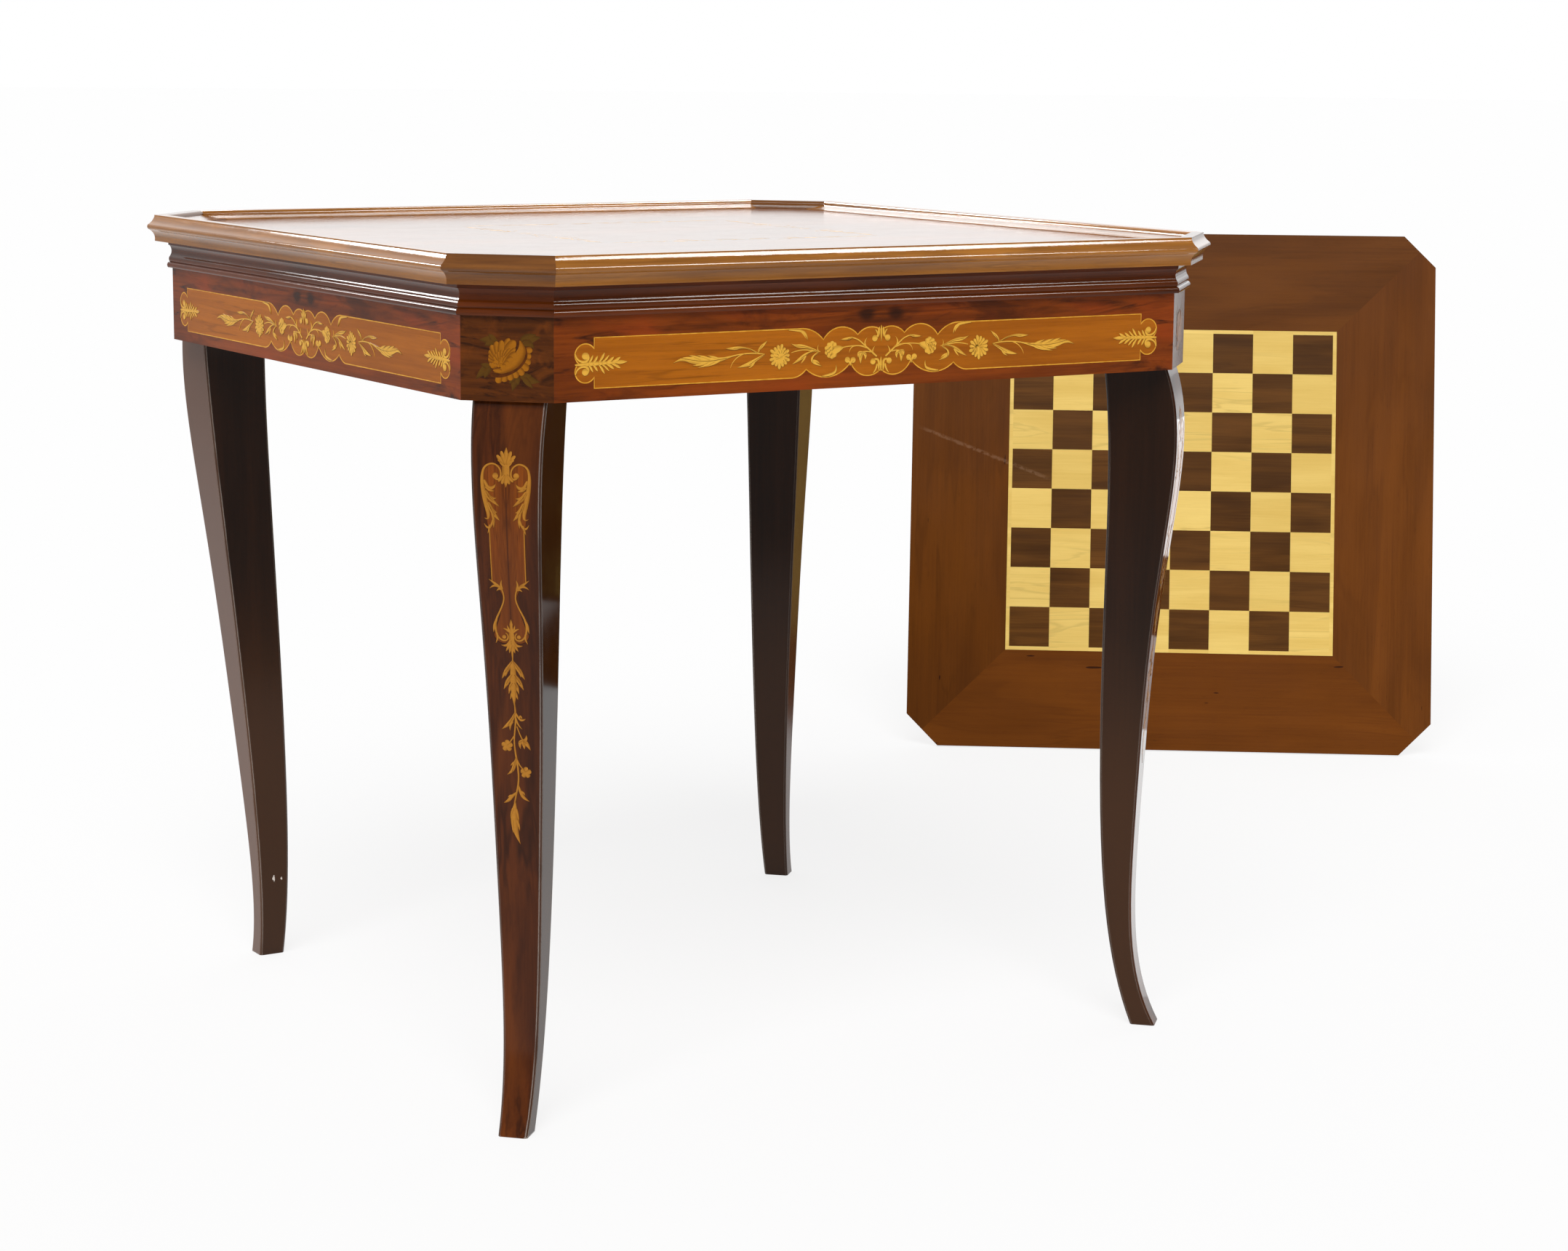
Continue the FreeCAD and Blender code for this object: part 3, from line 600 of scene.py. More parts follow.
ROSE_LINES = [
    [(-53.4, 5.2, 0.2), (-55.0, 4.0, 0.2), (-55.4, 2.4, 0.1)],
    [(-52.6, 2.2, 0.2), (-54.4, 1.2, 0.2), (-54.8, -0.4, 0.1)],
    [(-52.0, -1.0, 0.2), (-53.6, -2.2, 0.2), (-53.6, -3.8, 0.1)],
    [(-56.6, 3.2, 0.2), (-57.8, 2.0, 0.2), (-57.8, 0.6, 0.1)],
    [(-56.0, 0.2, 0.2), (-57.0, -1.0, 0.2), (-56.6, -2.4, 0.1)],
    [(-49.6, 4.0, 0.2), (-51.0, 3.0, 0.2), (-51.4, 1.4, 0.1)],
]
FERN = [
    [(-308, -0.4, 0.8), (-296, 0.0, 1.7), (-286, 0.2, 1.8), (-274, 0.4, 1.2), (-266, 0.4, 0.8)],
    [(-269, 0.4, 0.9), (-264, 0.5, 2.2), (-257.6, 0.6, 0.05)],
]
for root, tip, high, half in (
    (-295.5, -291.2, 7.2, 1.2), (-291.5, -286.6, 6.6, 1.3), (-286.0, -280.0, 9.0, 1.3),
    (-283.0, -275.6, 6.8, 1.0), (-278.5, -271.0, 5.2, 1.4), (-273.5, -264.6, 4.8, 1.4),
):
    for sign in (-1, 1):
        FERN.append([(root, sign * 0.6, 0.5), (0.5 * root + 0.5 * tip, sign * 0.42 * high, 0.95 * half),
                     (0.2 * root + 0.8 * tip, sign * 0.8 * high, 0.8 * half), (tip, sign * high, 0.15)])
CURL = [
    [(-308.2, 8.6, 0.6), (-306.6, 4.4, 0.8), (-301.8, 1.8, 1.0), (-296.6, 2.4, 1.2), (-295.4, 6.6, 1.4),
     (-298.0, 8.6, 1.4)],
    ball(-298.8, 6.8, 3.1),
]
CENTRE = [
    [(0.0, 22.4, 0.1), (0.0, 19.5, 1.0), (0.0, 14.0, 0.9), (0.0, 7.6, 0.1)],
    [(0.0, -5.6, 0.1), (0.0, -9.0, 1.0), (0.0, -15.0, 1.1), (0.0, -19.0, 0.1)],
]
CENTRE_SIDE = [
    [(-1.8, 21.0, 0.1), (-2.6, 19.0, 1.2), (-2.4, 14.0, 1.1), (-5.4, 11.2, 1.2), (-7.6, 10.8, 1.0)],
    [(-6.4, 18.6, 0.3), (-3.8, 16.6, 0.9), (-3.0, 12.0, 0.8)],
    ball(-6.8, 10.8, 2.9),
    [(-2.0, -18.8, 0.1), (-2.6, -15.0, 1.2), (-2.2, -10.0, 1.2), (-4.4, -7.4, 1.0), (-8.0, -8.2, 0.8)],
    [(-8.4, -20.2, 0.3), (-4.6, -17.0, 1.0), (-4.4, -12.0, 0.8)],
    ball(-8.6, -9.8, 2.8),
    ball(-35.6, -7.2, 2.7),
    ball(-29.6, -7.6, 2.7),
    [(-36.0, -7.0, 1.0), (-32.6, -9.2, 1.2), (-32.4, -12.4, 0.5)],
    [(-29.4, -7.4, 1.0), (-32.2, -9.2, 1.2), (-32.4, -12.4, 0.5)],
]

# Marquetry of a leg, left half of the lyre, in millimetres from the middle line and from the floor
LYRE_SIDE = [
    [(-9.6, 585.2, 0.8), (-6.4, 583.9, 0.85), (-4.2, 587.2, 0.8), (-4.9, 593.2, 0.7), (-9.4, 597.4, 0.7),
     (-14.2, 597.6, 0.8), (-19.4, 594.6, 0.9), (-21.2, 588.0, 1.2), (-20.9, 580.0, 1.7), (-19.5, 571.0, 2.1),
     (-17.3, 561.0, 2.0), (-15.4, 552.6, 1.3), (-16.8, 549.2, 0.7), (-19.6, 550.8, 0.1)],
    ball(-9.3, 587.4, 2.6),
    [(-19.0, 583.0, 1.0), (-15.8, 576.4, 1.5), (-10.4, 577.2, 1.3), (-9.0, 580.4, 0.1)],
    [(-17.8, 577.4, 0.9), (-14.0, 574.4, 1.3), (-10.2, 574.2, 0.1)],
    [(-18.0, 573.5, 1.5), (-13.8, 567.0, 2.0), (-8.6, 568.2, 0.2)],
    [(-16.6, 570.0, 1.5), (-11.8, 565.6, 1.9), (-6.0, 561.0, 0.1)],
    [(-15.6, 563.5, 1.5), (-12.0, 555.8, 2.1), (-8.2, 556.0, 0.3)],
    [(-14.2, 559.5, 1.4), (-10.4, 553.4, 2.0), (-5.9, 548.6, 0.1)],
    [(-12.6, 555.0, 0.9), (-11.0, 548.2, 1.3), (-11.6, 542.2, 0.1)],
    [(-11.8, 549.5, 0.9), (-13.8, 543.4, 1.0), (-17.8, 541.6, 0.9), (-20.0, 546.0, 0.1)],
    [(-14.6, 544.6, 0.9), (-15.6, 541.0, 1.0), (-17.0, 537.2, 0.1)],
    [(-15.4, 542.0, 0.46), (-15.3, 520.0, 0.46), (-15.1, 494.6, 0.46)],
    [(-7.6, 489.6, 1.0), (-13.0, 493.6, 1.3), (-18.0, 497.2, 0.1)],
    [(-7.8, 490.0, 1.0), (-13.6, 492.6, 1.2), (-17.6, 489.0, 0.1)],
    [(-6.6, 488.2, 0.8), (-9.8, 489.2, 0.9), (-11.6, 486.8, 0.1)],
    [(-6.6, 488.6, 1.0), (-7.9, 493.6, 0.9), (-6.4, 496.8, 0.1)],
    [(-7.2, 490.0, 0.6), (-4.9, 482.6, 0.6), (-5.8, 476.6, 0.65), (-9.6, 468.6, 0.7), (-13.6, 460.8, 0.9),
     (-14.2, 453.6, 0.9), (-12.6, 446.8, 0.8), (-8.2, 442.8, 0.75), (-3.6, 443.6, 0.7), (-2.8, 448.4, 0.6),
     (-5.2, 449.8, 0.5)],
    ball(-6.6, 446.4, 1.8),
    [(-12.6, 462.0, 0.9), (-15.4, 455.4, 1.4), (-16.0, 450.0, 0.1)],
    [(-12.8, 449.0, 0.9), (-12.2, 444.6, 1.0), (-14.4, 440.6, 0.1)],
    petal(-0.6, 597.6, -7.2, 601.2, 1.3),
    petal(-0.8, 597.0, -8.3, 604.8, 1.6),
    petal(-0.6, 597.0, -4.5, 608.4, 1.7),
    petal(-0.8, 588.0, -3.4, 580.4, 1.4),
    petal(-1.2, 588.4, -6.6, 582.4, 1.3),
    [(-1.2, 595.6, 0.9), (-4.2, 597.4, 0.9), (-5.8, 599.4, 0.1)],
    [(-1.6, 451.6, 0.9), (-2.9, 454.4, 0.9), (-3.4, 457.0, 0.1)],
    [(-1.4, 450.6, 0.9), (-4.8, 453.4, 0.9), (-7.4, 453.8, 0.1)],
    [(-1.0, 443.0, 1.2), (-4.8, 437.6, 1.4), (-9.6, 439.0, 0.1)],
    [(-1.0, 441.0, 1.2), (-3.8, 436.4, 1.3), (-5.6, 433.6, 0.1)],
    [(-0.6, 439.0, 1.2), (-1.9, 434.8, 1.1), (-2.5, 432.0, 0.1)],
    [(-0.4, 424.6, 0.7), (-3.4, 419.8, 1.8), (-7.2, 414.6, 1.9), (-10.4, 408.8, 0.1)],
    [(-4.6, 418.5, 1.3), (-6.4, 414.5, 1.5), (-7.0, 410.9, 0.1)],
    [(-0.8, 412.8, 1.2), (-3.8, 408.8, 1.9), (-6.6, 404.4, 1.7), (-9.0, 399.4, 0.1)],
    [(-3.6, 409.2, 1.3), (-5.0, 405.8, 1.4), (-5.5, 402.9, 0.1)],
    [(-0.7, 405.4, 1.4), (-3.4, 401.4, 1.7), (-4.6, 395.4, 0.1)],
    [(-0.5, 398.0, 1.2), (-2.4, 394.4, 1.2), (-3.4, 390.6, 0.1)],
]
LYRE_MIDDLE = [
    [(0.0, 577.6, 0.1), (0.0, 581.0, 1.3), (0.0, 586.0, 3.4), (0.0, 592.0, 3.3), (0.0, 598.0, 3.1),
     (0.0, 604.0, 2.3), (0.0, 608.6, 1.4), (0.0, 611.6, 0.1)],
    [(0.0, 425.6, 0.5), (0.0, 431.0, 0.7), (0.0, 436.4, 1.4), (0.0, 443.0, 2.6), (0.0, 450.0, 2.2),
     (0.0, 455.4, 1.0), (0.0, 458.0, 1.7), (0.0, 462.0, 0.1)],
    [(0.0, 427.2, 0.3), (0.0, 420.2, 2.2), (0.0, 411.8, 2.8), (0.0, 402.2, 2.8), (0.0, 392.7, 1.9),
     (0.0, 385.7, 0.4)],
]
VINE = [
    [(0.2, 387.7, 0.5), (0.7, 380.2, 0.8), (0.8, 371.5, 0.8), (-0.4, 361.9, 0.65), (-1.3, 353.5, 0.6),
     (-0.6, 343.9, 0.7), (0.8, 335.4, 0.85), (2.0, 324.8, 0.7), (1.7, 315.3, 0.75), (-0.4, 306.4, 0.75),
     (-2.3, 297.3, 0.7)],
    [(0.5, 378.9, 0.6), (-2.8, 371.7, 1.7), (-6.5, 367.5, 1.8), (-12.2, 363.4, 0.05)],
    [(-2.2, 370.4, 0.9), (-4.8, 367.0, 1.0), (-4.6, 362.4, 0.05)],
    [(1.0, 378.5, 0.6), (3.8, 373.4, 0.9), (6.8, 371.9, 1.1), (10.0, 373.8, 0.05)],
    [(4.0, 374.7, 0.6), (5.2, 376.4, 1.0), (6.6, 374.0, 0.4)],
    [(1.0, 373.8, 0.6), (3.0, 367.2, 0.8), (6.6, 364.1, 0.05)],
    [(-1.2, 357.7, 0.6), (-4.4, 353.0, 0.5), (-7.6, 349.2, 0.5)],
    [(1.7, 366.6, 0.5), (4.1, 358.5, 0.5), (7.1, 353.8, 0.5)],
    [(7.0, 354.1, 1.2), (3.2, 352.2, 2.0), (4.4, 346.5, 0.1)],
    [(7.0, 353.8, 1.4), (10.2, 355.6, 1.4), (9.8, 359.2, 0.1)],
    [(7.0, 353.8, 1.6), (10.5, 351.3, 2.2), (13.4, 345.8, 0.1)],
    [(7.0, 353.5, 1.4), (7.6, 349.9, 1.7), (8.0, 346.5, 0.1)],
    [(0.4, 338.6, 0.6), (-1.6, 331.6, 1.7), (-4.0, 325.5, 1.3), (-8.6, 322.7, 0.05)],
    [(-1.6, 334.4, 0.7), (-3.6, 332.7, 0.9), (-5.2, 330.8, 0.05)],
    [(0.8, 336.9, 0.6), (3.7, 330.4, 0.5), (8.4, 325.8, 0.5)],
    [(-0.6, 306.8, 0.6), (-4.8, 303.2, 1.5), (-7.8, 299.2, 1.5), (-12.2, 297.1, 0.05)],
    [(-4.0, 304.1, 0.8), (-6.6, 303.9, 0.9), (-8.4, 302.2, 0.05)],
    [(1.6, 313.4, 0.6), (3.1, 307.5, 1.3), (6.4, 301.9, 1.5), (11.4, 299.6, 0.05)],
    [(3.6, 308.1, 0.8), (6.2, 307.2, 0.9), (7.4, 304.9, 0.05)],
    [(-1.8, 298.3, 0.6), (-2.9, 288.8, 2.9), (-3.0, 279.3, 3.3), (-1.4, 269.3, 2.0), (2.2, 260.6, 0.05)],
    [(-4.0, 292.4, 1.0), (-5.6, 287.7, 0.9), (-6.4, 283.5, 0.05)],
    [(-4.4, 281.4, 1.0), (-4.8, 275.7, 0.9), (-4.2, 270.1, 0.05)],
    [(-0.8, 291.6, 1.0), (0.6, 285.6, 0.9), (1.2, 280.3, 0.05)],
    [(-0.4, 281.6, 1.0), (1.4, 276.7, 0.9), (1.8, 272.5, 0.05)],
]
BLOSSOMS = ((-7.8, 348.8, 5.2), (8.6, 325.5, 5.0))

# Peony of a corner block, in millimetres from the middle of its face
PEONY_RING = [
    petal(x0, y0, x1, y1, half)
    for x0, y0, x1, y1, half in (
        (13.0, 7.0, 22.6, 8.4, 2.8), (13.0, 4.0, 21.6, 2.6, 2.8), (12.0, 1.0, 21.0, -3.2, 3.0),
        (10.0, -2.0, 19.2, -8.6, 3.4), (7.0, -5.0, 14.8, -12.9, 3.2), (4.0, -7.0, 9.4, -15.6, 3.2),
        (1.0, -9.0, 4.0, -18.0, 3.2), (-3.0, -10.0, -2.0, -19.6, 3.2), (-6.0, -11.0, -8.0, -20.8, 3.2),
    )
]
PEONY_SHADE = [
    [(16.6, 10.4, 0.3), (17.0, 4.6, 2.2), (13.4, -2.4, 2.6), (7.4, -8.2, 2.6), (0.4, -12.0, 2.4),
     (-7.4, -14.2, 2.4), (-14.4, -13.8, 1.6)],
]
PEONY_BACK = petals(-6.4, -2.2, (
    (201, 9.8, 2.9), (172, 10.4, 2.9), (154, 11.0, 2.7), (137, 13.0, 2.8), (120, 15.6, 3.1), (101, 17.2, 3.2),
    (67, 21.6, 3.2), (53, 22.6, 4.4), (216, 9.4, 2.8), (84, 18.0, 3.0),
))
PEONY_MIDDLE = petals(-4.8, -3.6, (
    (150, 8.4, 2.2), (126, 9.2, 2.1), (108, 10.0, 2.0), (88, 11.4, 2.0), (72, 12.4, 2.0), (58, 14.6, 2.2),
    (46, 18.0, 2.2), (178, 7.0, 2.0), (205, 7.2, 2.0),
))
PEONY_BOWL = [
    [(11.6, 15.8, 0.5), (13.8, 10.6, 2.9), (12.4, 4.4, 4.5), (8.8, -0.8, 5.0), (4.2, -5.2, 4.6),
     (-1.2, -8.6, 3.4), (-6.2, -10.8, 2.3), (-11.4, -11.6, 0.3)],
]
PEONY_HEART = petals(-3.8, -4.8, (
    (84, 7.6, 1.7), (104, 6.4, 1.6), (66, 7.0, 1.6), (130, 5.2, 1.5), (160, 4.6, 1.5), (196, 4.4, 1.4),
)) + [
    petal(-1.0, -2.0, 8.6, 5.4, 3.3), petal(-2.2, -3.6, 5.2, 1.2, 2.8), petal(-3.6, -5.0, 2.0, -2.8, 2.5),
    petal(-6.2, -6.2, -0.8, -5.8, 2.1), petal(-11.8, -9.8, -4.6, -10.0, 2.0), petal(-7.0, -4.6, -5.4, -1.6, 1.2),
    petal(-7.4, -4.8, -9.6, -3.2, 1.1), petal(-6.6, -5.4, -7.4, -7.4, 1.1), petal(-6.4, -5.0, -4.2, -4.6, 1.1),
]
PEONY_LEAVES = [
    [(-9.5, 13.6, 2.6), (-15.5, 16.0, 4.6), (-24.6, 15.4, 0.1)],
    [(-11.0, 15.0, 2.6), (-14.0, 18.8, 2.6), (-16.4, 20.2, 0.3)],
    [(-12.0, 13.8, 2.6), (-16.6, 12.6, 2.6), (-19.4, 10.8, 0.3)],
    [(13.6, 15.0, 3.0), (20.6, 17.4, 4.6), (30.0, 19.0, 0.1)],
    [(14.0, 16.4, 2.8), (19.4, 20.4, 2.6), (26.0, 21.0, 0.2)],
    [(15.0, 14.0, 3.0), (21.0, 14.0, 3.0), (24.0, 9.6, 0.3)],
    [(-15.4, -7.2, 2.6), (-21.0, -10.6, 4.4), (-27.8, -17.8, 0.1)],
    [(-16.0, -7.0, 2.6), (-20.4, -6.0, 2.4), (-23.2, -5.0, 0.3)],
    [(-16.0, -9.0, 2.6), (-19.0, -13.6, 2.4), (-19.8, -16.6, 0.3)],
    [(8.0, -14.6, 2.6), (6.6, -20.0, 4.0), (4.8, -27.2, 0.1)],
    [(6.4, -15.6, 2.2), (4.0, -18.4, 2.2), (2.2, -20.8, 0.3)],
    [(9.0, -15.4, 2.2), (9.8, -18.6, 2.2), (9.8, -21.8, 0.3)],
    [(13.4, -13.6, 2.6), (20.0, -17.8, 4.4), (29.4, -18.6, 0.1)],
    [(15.0, -14.0, 2.4), (18.6, -13.6, 2.2), (21.4, -13.4, 0.3)],
    [(16.0, -17.0, 2.6), (19.6, -20.8, 2.4), (22.8, -24.0, 0.2)],
]

# Flat blade that every stroke is drawn with
bpy.ops.curve.primitive_nurbs_path_add()
blade = bpy.context.object
blade.data.splines.clear()
edge = blade.data.splines.new("POLY")
edge.points.add(1)
edge.points[0].co = (-1.0, 0.0, 0.0, 1.0)
edge.points[1].co = (1.0, 0.0, 0.0, 1.0)


def eased(stroke):
    """Stroke with a rounded root."""
    (x0, y0, half), (x1, y1, _) = stroke[:2]
    length = math.hypot(x1 - x0, y1 - y0)
    if half < 0.6:
        return stroke
    back_x, back_y = 0.7 * half / length * (x0 - x1), 0.7 * half / length * (y0 - y1)
    return [(x0 + back_x, y0 + back_y, 0.1), (x0 + 0.5 * back_x, y0 + 0.5 * back_y, 0.75 * half)] + stroke


def flat_strokes(name, strokes, lift=0.0, closed=(), step=STEP):
    """Draws strokes flat, in millimetres, and turns them into faces."""
    bpy.ops.curve.primitive_nurbs_path_add()
    piece = bpy.context.object
    piece.name = name
    drawing = piece.data
    drawing.splines.clear()
    drawing.twist_mode = "Z_UP"
    drawing.bevel_mode = "OBJECT"
    drawing.bevel_object = blade
    for order, stroke in enumerate(map(eased, strokes)):
        line = drawing.splines.new("NURBS")
        line.points.add(len(stroke) - 1)
        for point, (x, y, half) in zip(line.points, stroke):
            point.co = (x * MM, y * MM, lift + (order % STEPS) * step, 1.0)
            point.radius = half * MM
        line.order_u = 3
        line.use_endpoint_u = True
        line.resolution_u = 5
    for loop in closed:
        line = drawing.splines.new("POLY")
        line.points.add(len(loop) - 1)
        for point, (x, y, half) in zip(line.points, loop):
            point.co = (x * MM, y * MM, lift, 1.0)
            point.radius = half * MM
        line.use_cyclic_u = True
    bpy.ops.object.convert(target="MESH")
    bpy.ops.object.shade_flat()
    return bpy.context.object


def pick(piece):
    """Makes a piece the one that is worked on."""
    bpy.ops.object.select_all(action="DESELECT")
    piece.select_set(True)
    bpy.context.view_layer.objects.active = piece


def thicken(piece):
    """Gives flat marquetry its thickness, downwards into the face."""
    pick(piece)
    plate = piece.modifiers.new("thickness", "SOLIDIFY")
    plate.thickness = INLAY_THICK
    plate.offset = -1.0
    bpy.ops.object.modifier_apply(modifier=plate.name)
    bpy.ops.object.mode_set(mode="EDIT")
    bpy.ops.mesh.select_all(action="SELECT")
    bpy.ops.mesh.normals_make_consistent(inside=False)
    bpy.ops.object.mode_set(mode="OBJECT")


def set_in(piece, place, body, finish):
    """Makes drawn marquetry solid and puts it on its face, on the body that carries it."""
    thicken(piece)
    piece.data.transform(place)
    piece.data.materials.clear()
    piece.data.materials.append(finish)
    slot = "dark_walnut" if finish in DARK_LINES else "maple"
    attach(piece, body)


def panel_edge(side):
    """Outline of a rail's inlaid panel, read from its node, in flat millimetres."""
    source = nodes["apron_panel_" + SIDES[side]]
    outline = bpy.data.objects.new("panel_outline", source.data.copy())
    bpy.context.collection.objects.link(outline)
    outline.data.transform(face_place(side, APRON_FACE, PANEL_MID).inverted())
    pick(outline)
    bpy.ops.object.mode_set(mode="EDIT")
    bpy.ops.mesh.select_all(action="SELECT")
    bpy.ops.mesh.remove_doubles(threshold=0.01 * MM)
    bpy.ops.mesh.select_mode(type="FACE")
    bpy.ops.mesh.select_all(action="DESELECT")
    bpy.ops.object.mode_set(mode="OBJECT")
    for face in outline.data.polygons:
        face.select = face.normal.z < 0.9
    bpy.ops.object.mode_set(mode="EDIT")
    bpy.ops.mesh.delete(type="FACE")
    bpy.ops.mesh.select_all(action="SELECT")
    bpy.ops.mesh.dissolve_faces()
    bpy.ops.mesh.select_all(action="SELECT")
    bpy.ops.mesh.delete(type="ONLY_FACE")
    bpy.ops.object.mode_set(mode="OBJECT")
    bpy.ops.object.convert(target="CURVE")
    points = bpy.context.object.data.splines[0].points
    loop = [(point.co.x / MM, point.co.y / MM, STRING_HALF) for point in points]
    bpy.ops.object.delete()
    return loop


def axes(*columns):
    """Matrix of three axes and an origin."""
    return Matrix([[column[row] for column in columns] for row in range(3)] + [[0, 0, 0, 1]])


def leg_frame(corner):
    """Flat drawing to a leg: across, up from the floor, outwards; the foot moved by the lean."""
    side = SIDES.index(corner)
    radial = rotated(side) @ Vector((0.0, -1.0, 0.0))
    turn = Matrix.Rotation(LEG_TURN[corner], 4, "Z") @ rotated(side)
    across = (turn @ Vector((1.0, 0.0, 0.0))).normalized()
    outward = across.cross(UP)
    drift = -radial * LEG_LEAN[corner]
    rise = UP - drift / LEG_HEIGHT
    foot = radial * LEG_REACH + drift
    return axes(across, rise, outward, foot), outward


def bend_to_leg(piece, leg, place, outward):
    """Lays flat marquetry on the curved outer face of a leg."""
    far = 0.2
    for vertex in piece.data.vertices:
        level = vertex.co.y
        beside_panel = 23.5 * MM if level > PANEL_FOOT else 0.0
        start = place @ Vector((beside_panel, level, 0.0)) + outward * far
        hit, spot, _, _ = leg.ray_cast(start, -outward)
        vertex.co.z += (spot - start).dot(outward) + far if hit else 0.0
    piece.data.update()


# Finishes
gold = marquetry_finish("marquetry_gold", (238, 181, 68), (156, 94, 20))
leg_gold = marquetry_finish("marquetry_leg_gold", (176, 118, 40), (106, 61, 12))
amber = marquetry_finish("marquetry_amber", (160, 98, 16), (92, 48, 6), 0.8)
olive = marquetry_finish("marquetry_olive", (90, 59, 13), (60, 36, 7), 0.6)
string_wood = line_finish("stringing", (232, 170, 58), (210, 146, 40))
cut_line = line_finish("cut_line", (112, 60, 12), (84, 42, 8))
shadow_line = line_finish("scorched_edge", (92, 46, 8), (70, 34, 6))
DARK_LINES = (cut_line, shadow_line)
MAPLE = ((234, 203, 118), (216, 180, 94), 40.0)
STEEL = ((150, 148, 142), (88, 80, 70))
for side, name in enumerate(SIDES):
    turn = side_turn(side)
    tones = ((140, 86, 32), (92, 52, 16)) if side % 2 else ((182, 118, 44), (124, 74, 22))
    figure = {"wave": 0.35, "band": 60.0, "fibre": 300.0, "lines": 0.3}
    dress("rim_" + name, veneer("rim_walnut_" + name, *tones, turn, rough=0.09, gloss=TOP_LACQUER, **figure))
    figure = {"rough": 0.08, "gloss": FRIEZE_LACQUER, "band": 50.0, "lines": 0.3}
    dress("frieze_" + name, veneer("frieze_walnut_" + name, (108, 49, 12), (58, 24, 5), turn, **figure))
    if side % 2:
        dress("corner_block_" + name, burr_finish(side))
    else:
        dress("apron_rail_" + name, rail_finish(side))
        tones = ((186, 106, 18), (148, 79, 10))
        figure = {"band": 70.0, "swirl": 0.3, "lines": 0.4}
        dress("apron_panel_" + name, veneer("panel_walnut_" + name, *tones, turn, **figure))
        dress("cleat_" + name, veneer("cleat_beech_" + name, (196, 150, 100), (170, 122, 76), turn, rough=0.6))
dress("top_panel", veneer("top_veneer", (150, 88, 40), (92, 50, 20), gloss=TOP_LACQUER, band=18.0, lines=0.3))
dress("cleat_screws", metal_finish("screw_steel", *STEEL))
dress("leg_inserts", metal_finish("insert_brass", (190, 150, 78), (120, 86, 44)))
leg_frames = {corner: leg_frame(corner) for corner in LEG_BODIES}
for corner, (place, outward) in leg_frames.items():
    dress("leg_" + corner, leg_finish(corner, place, outward))
    dress("leg_bolt_" + corner, metal_finish("bolt_steel_" + corner, *STEEL))
    dress("leg_inlay_" + corner, lyre_finish(corner, place, outward))
quarter = math.pi / 2
for name, turn, pale, dark in (
    ("bottom", 0.0, (114, 62, 16), (92, 48, 11)), ("right", quarter, (112, 62, 19), (88, 47, 13)),
    ("top", 0.0, (106, 60, 18), (82, 44, 12)), ("left", quarter, (101, 55, 13), (79, 41, 9)),
):
    dress("board_border_" + name, border_finish(name, turn, pale, dark))
dress("board_light_squares", field_finish("maple_fields", *MAPLE))
dress("board_dark_squares", field_finish("walnut_fields", (104, 65, 25), (66, 39, 13), 46.0))
dress("board_line", field_finish("maple_line", *MAPLE))
dress("board_core", veneer("board_edge", (58, 33, 14), (34, 18, 8), BOARD_TURN, BOARD_PIVOT, 0.4))
dress("board_back", veneer("board_back", (120, 78, 44), (90, 56, 30), BOARD_TURN, BOARD_PIVOT, 0.5, SATIN))

# Marquetry of the rails
rail_flowers = SPRAY + FERN + CURL + flipped(CURL) + CENTRE_SIDE
rail_flowers = rail_flowers + mirrored(rail_flowers) + CENTRE
heads = carnation(*CARNATION_AT) + ROSE
heads = heads + mirrored(heads)
rail_lines = carnation_lines(*CARNATION_AT) + ROSE_LINES + veins_of(SPRAY, 1.6)
rail_lines = rail_lines + mirrored(rail_lines)
for side in (0, 2, 4, 6):
    name = SIDES[side]
    place = face_place(side, APRON_FACE + PROUD, PANEL_MID)
    lines = flat_strokes("stringing_" + name, [], 0.0, [panel_edge(side)])
    edges = flat_strokes("rail_scorched_edges_" + name, scorched(rail_flowers + heads), LAYER)
    flowers = flat_strokes("rail_flowers_" + name, rail_flowers + heads, 2 * LAYER)
    cuts = flat_strokes("rail_cut_lines_" + name, rail_lines, 3 * LAYER)
    for piece, finish in ((lines, string_wood), (edges, shadow_line), (flowers, gold), (cuts, cut_line)):
        set_in(piece, place, "table", finish)

# Marquetry of the corner blocks
for side in (1, 3, 5, 7):
    name = SIDES[side]
    place = face_place(side, CORNER_FACE + PROUD, APRON_MID)
    layers = (
        ("peony_leaves_", PEONY_LEAVES, olive), ("peony_leaf_lines_", veins_of(PEONY_LEAVES, 3.0), shadow_line),
        ("peony_ring_", PEONY_RING, amber), ("peony_shade_", PEONY_SHADE, shadow_line),
        ("peony_back_", PEONY_BACK, amber), ("peony_middle_", PEONY_MIDDLE, amber),
        ("peony_bowl_", PEONY_BOWL, amber), ("peony_heart_", PEONY_HEART, amber),
    )
    for depth, (kind, strokes, finish) in enumerate(layers):
        piece = flat_strokes(kind + name, strokes, depth * THIN_LAYER)
        set_in(piece, place, "table", finish)

# Marquetry of the top: four sprays in a wreath, flush with the veneer
garland = SPRAY + carnation(*CARNATION_AT)
garland = garland + mirrored(garland)
wreath = []
for count in range(4):
    turn = quarter * count
    x, y = WREATH_REACH * math.sin(turn), -WREATH_REACH * math.cos(turn)
    wreath = wreath + moved(garland, x, y, WREATH_SIZE, turn)
piece = flat_strokes("top_flowers", wreath, FLUSH, (), FLUSH_STEP)
set_in(piece, Matrix.Translation((0.0, 0.0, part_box("top_panel")[1].z)), "table", gold)

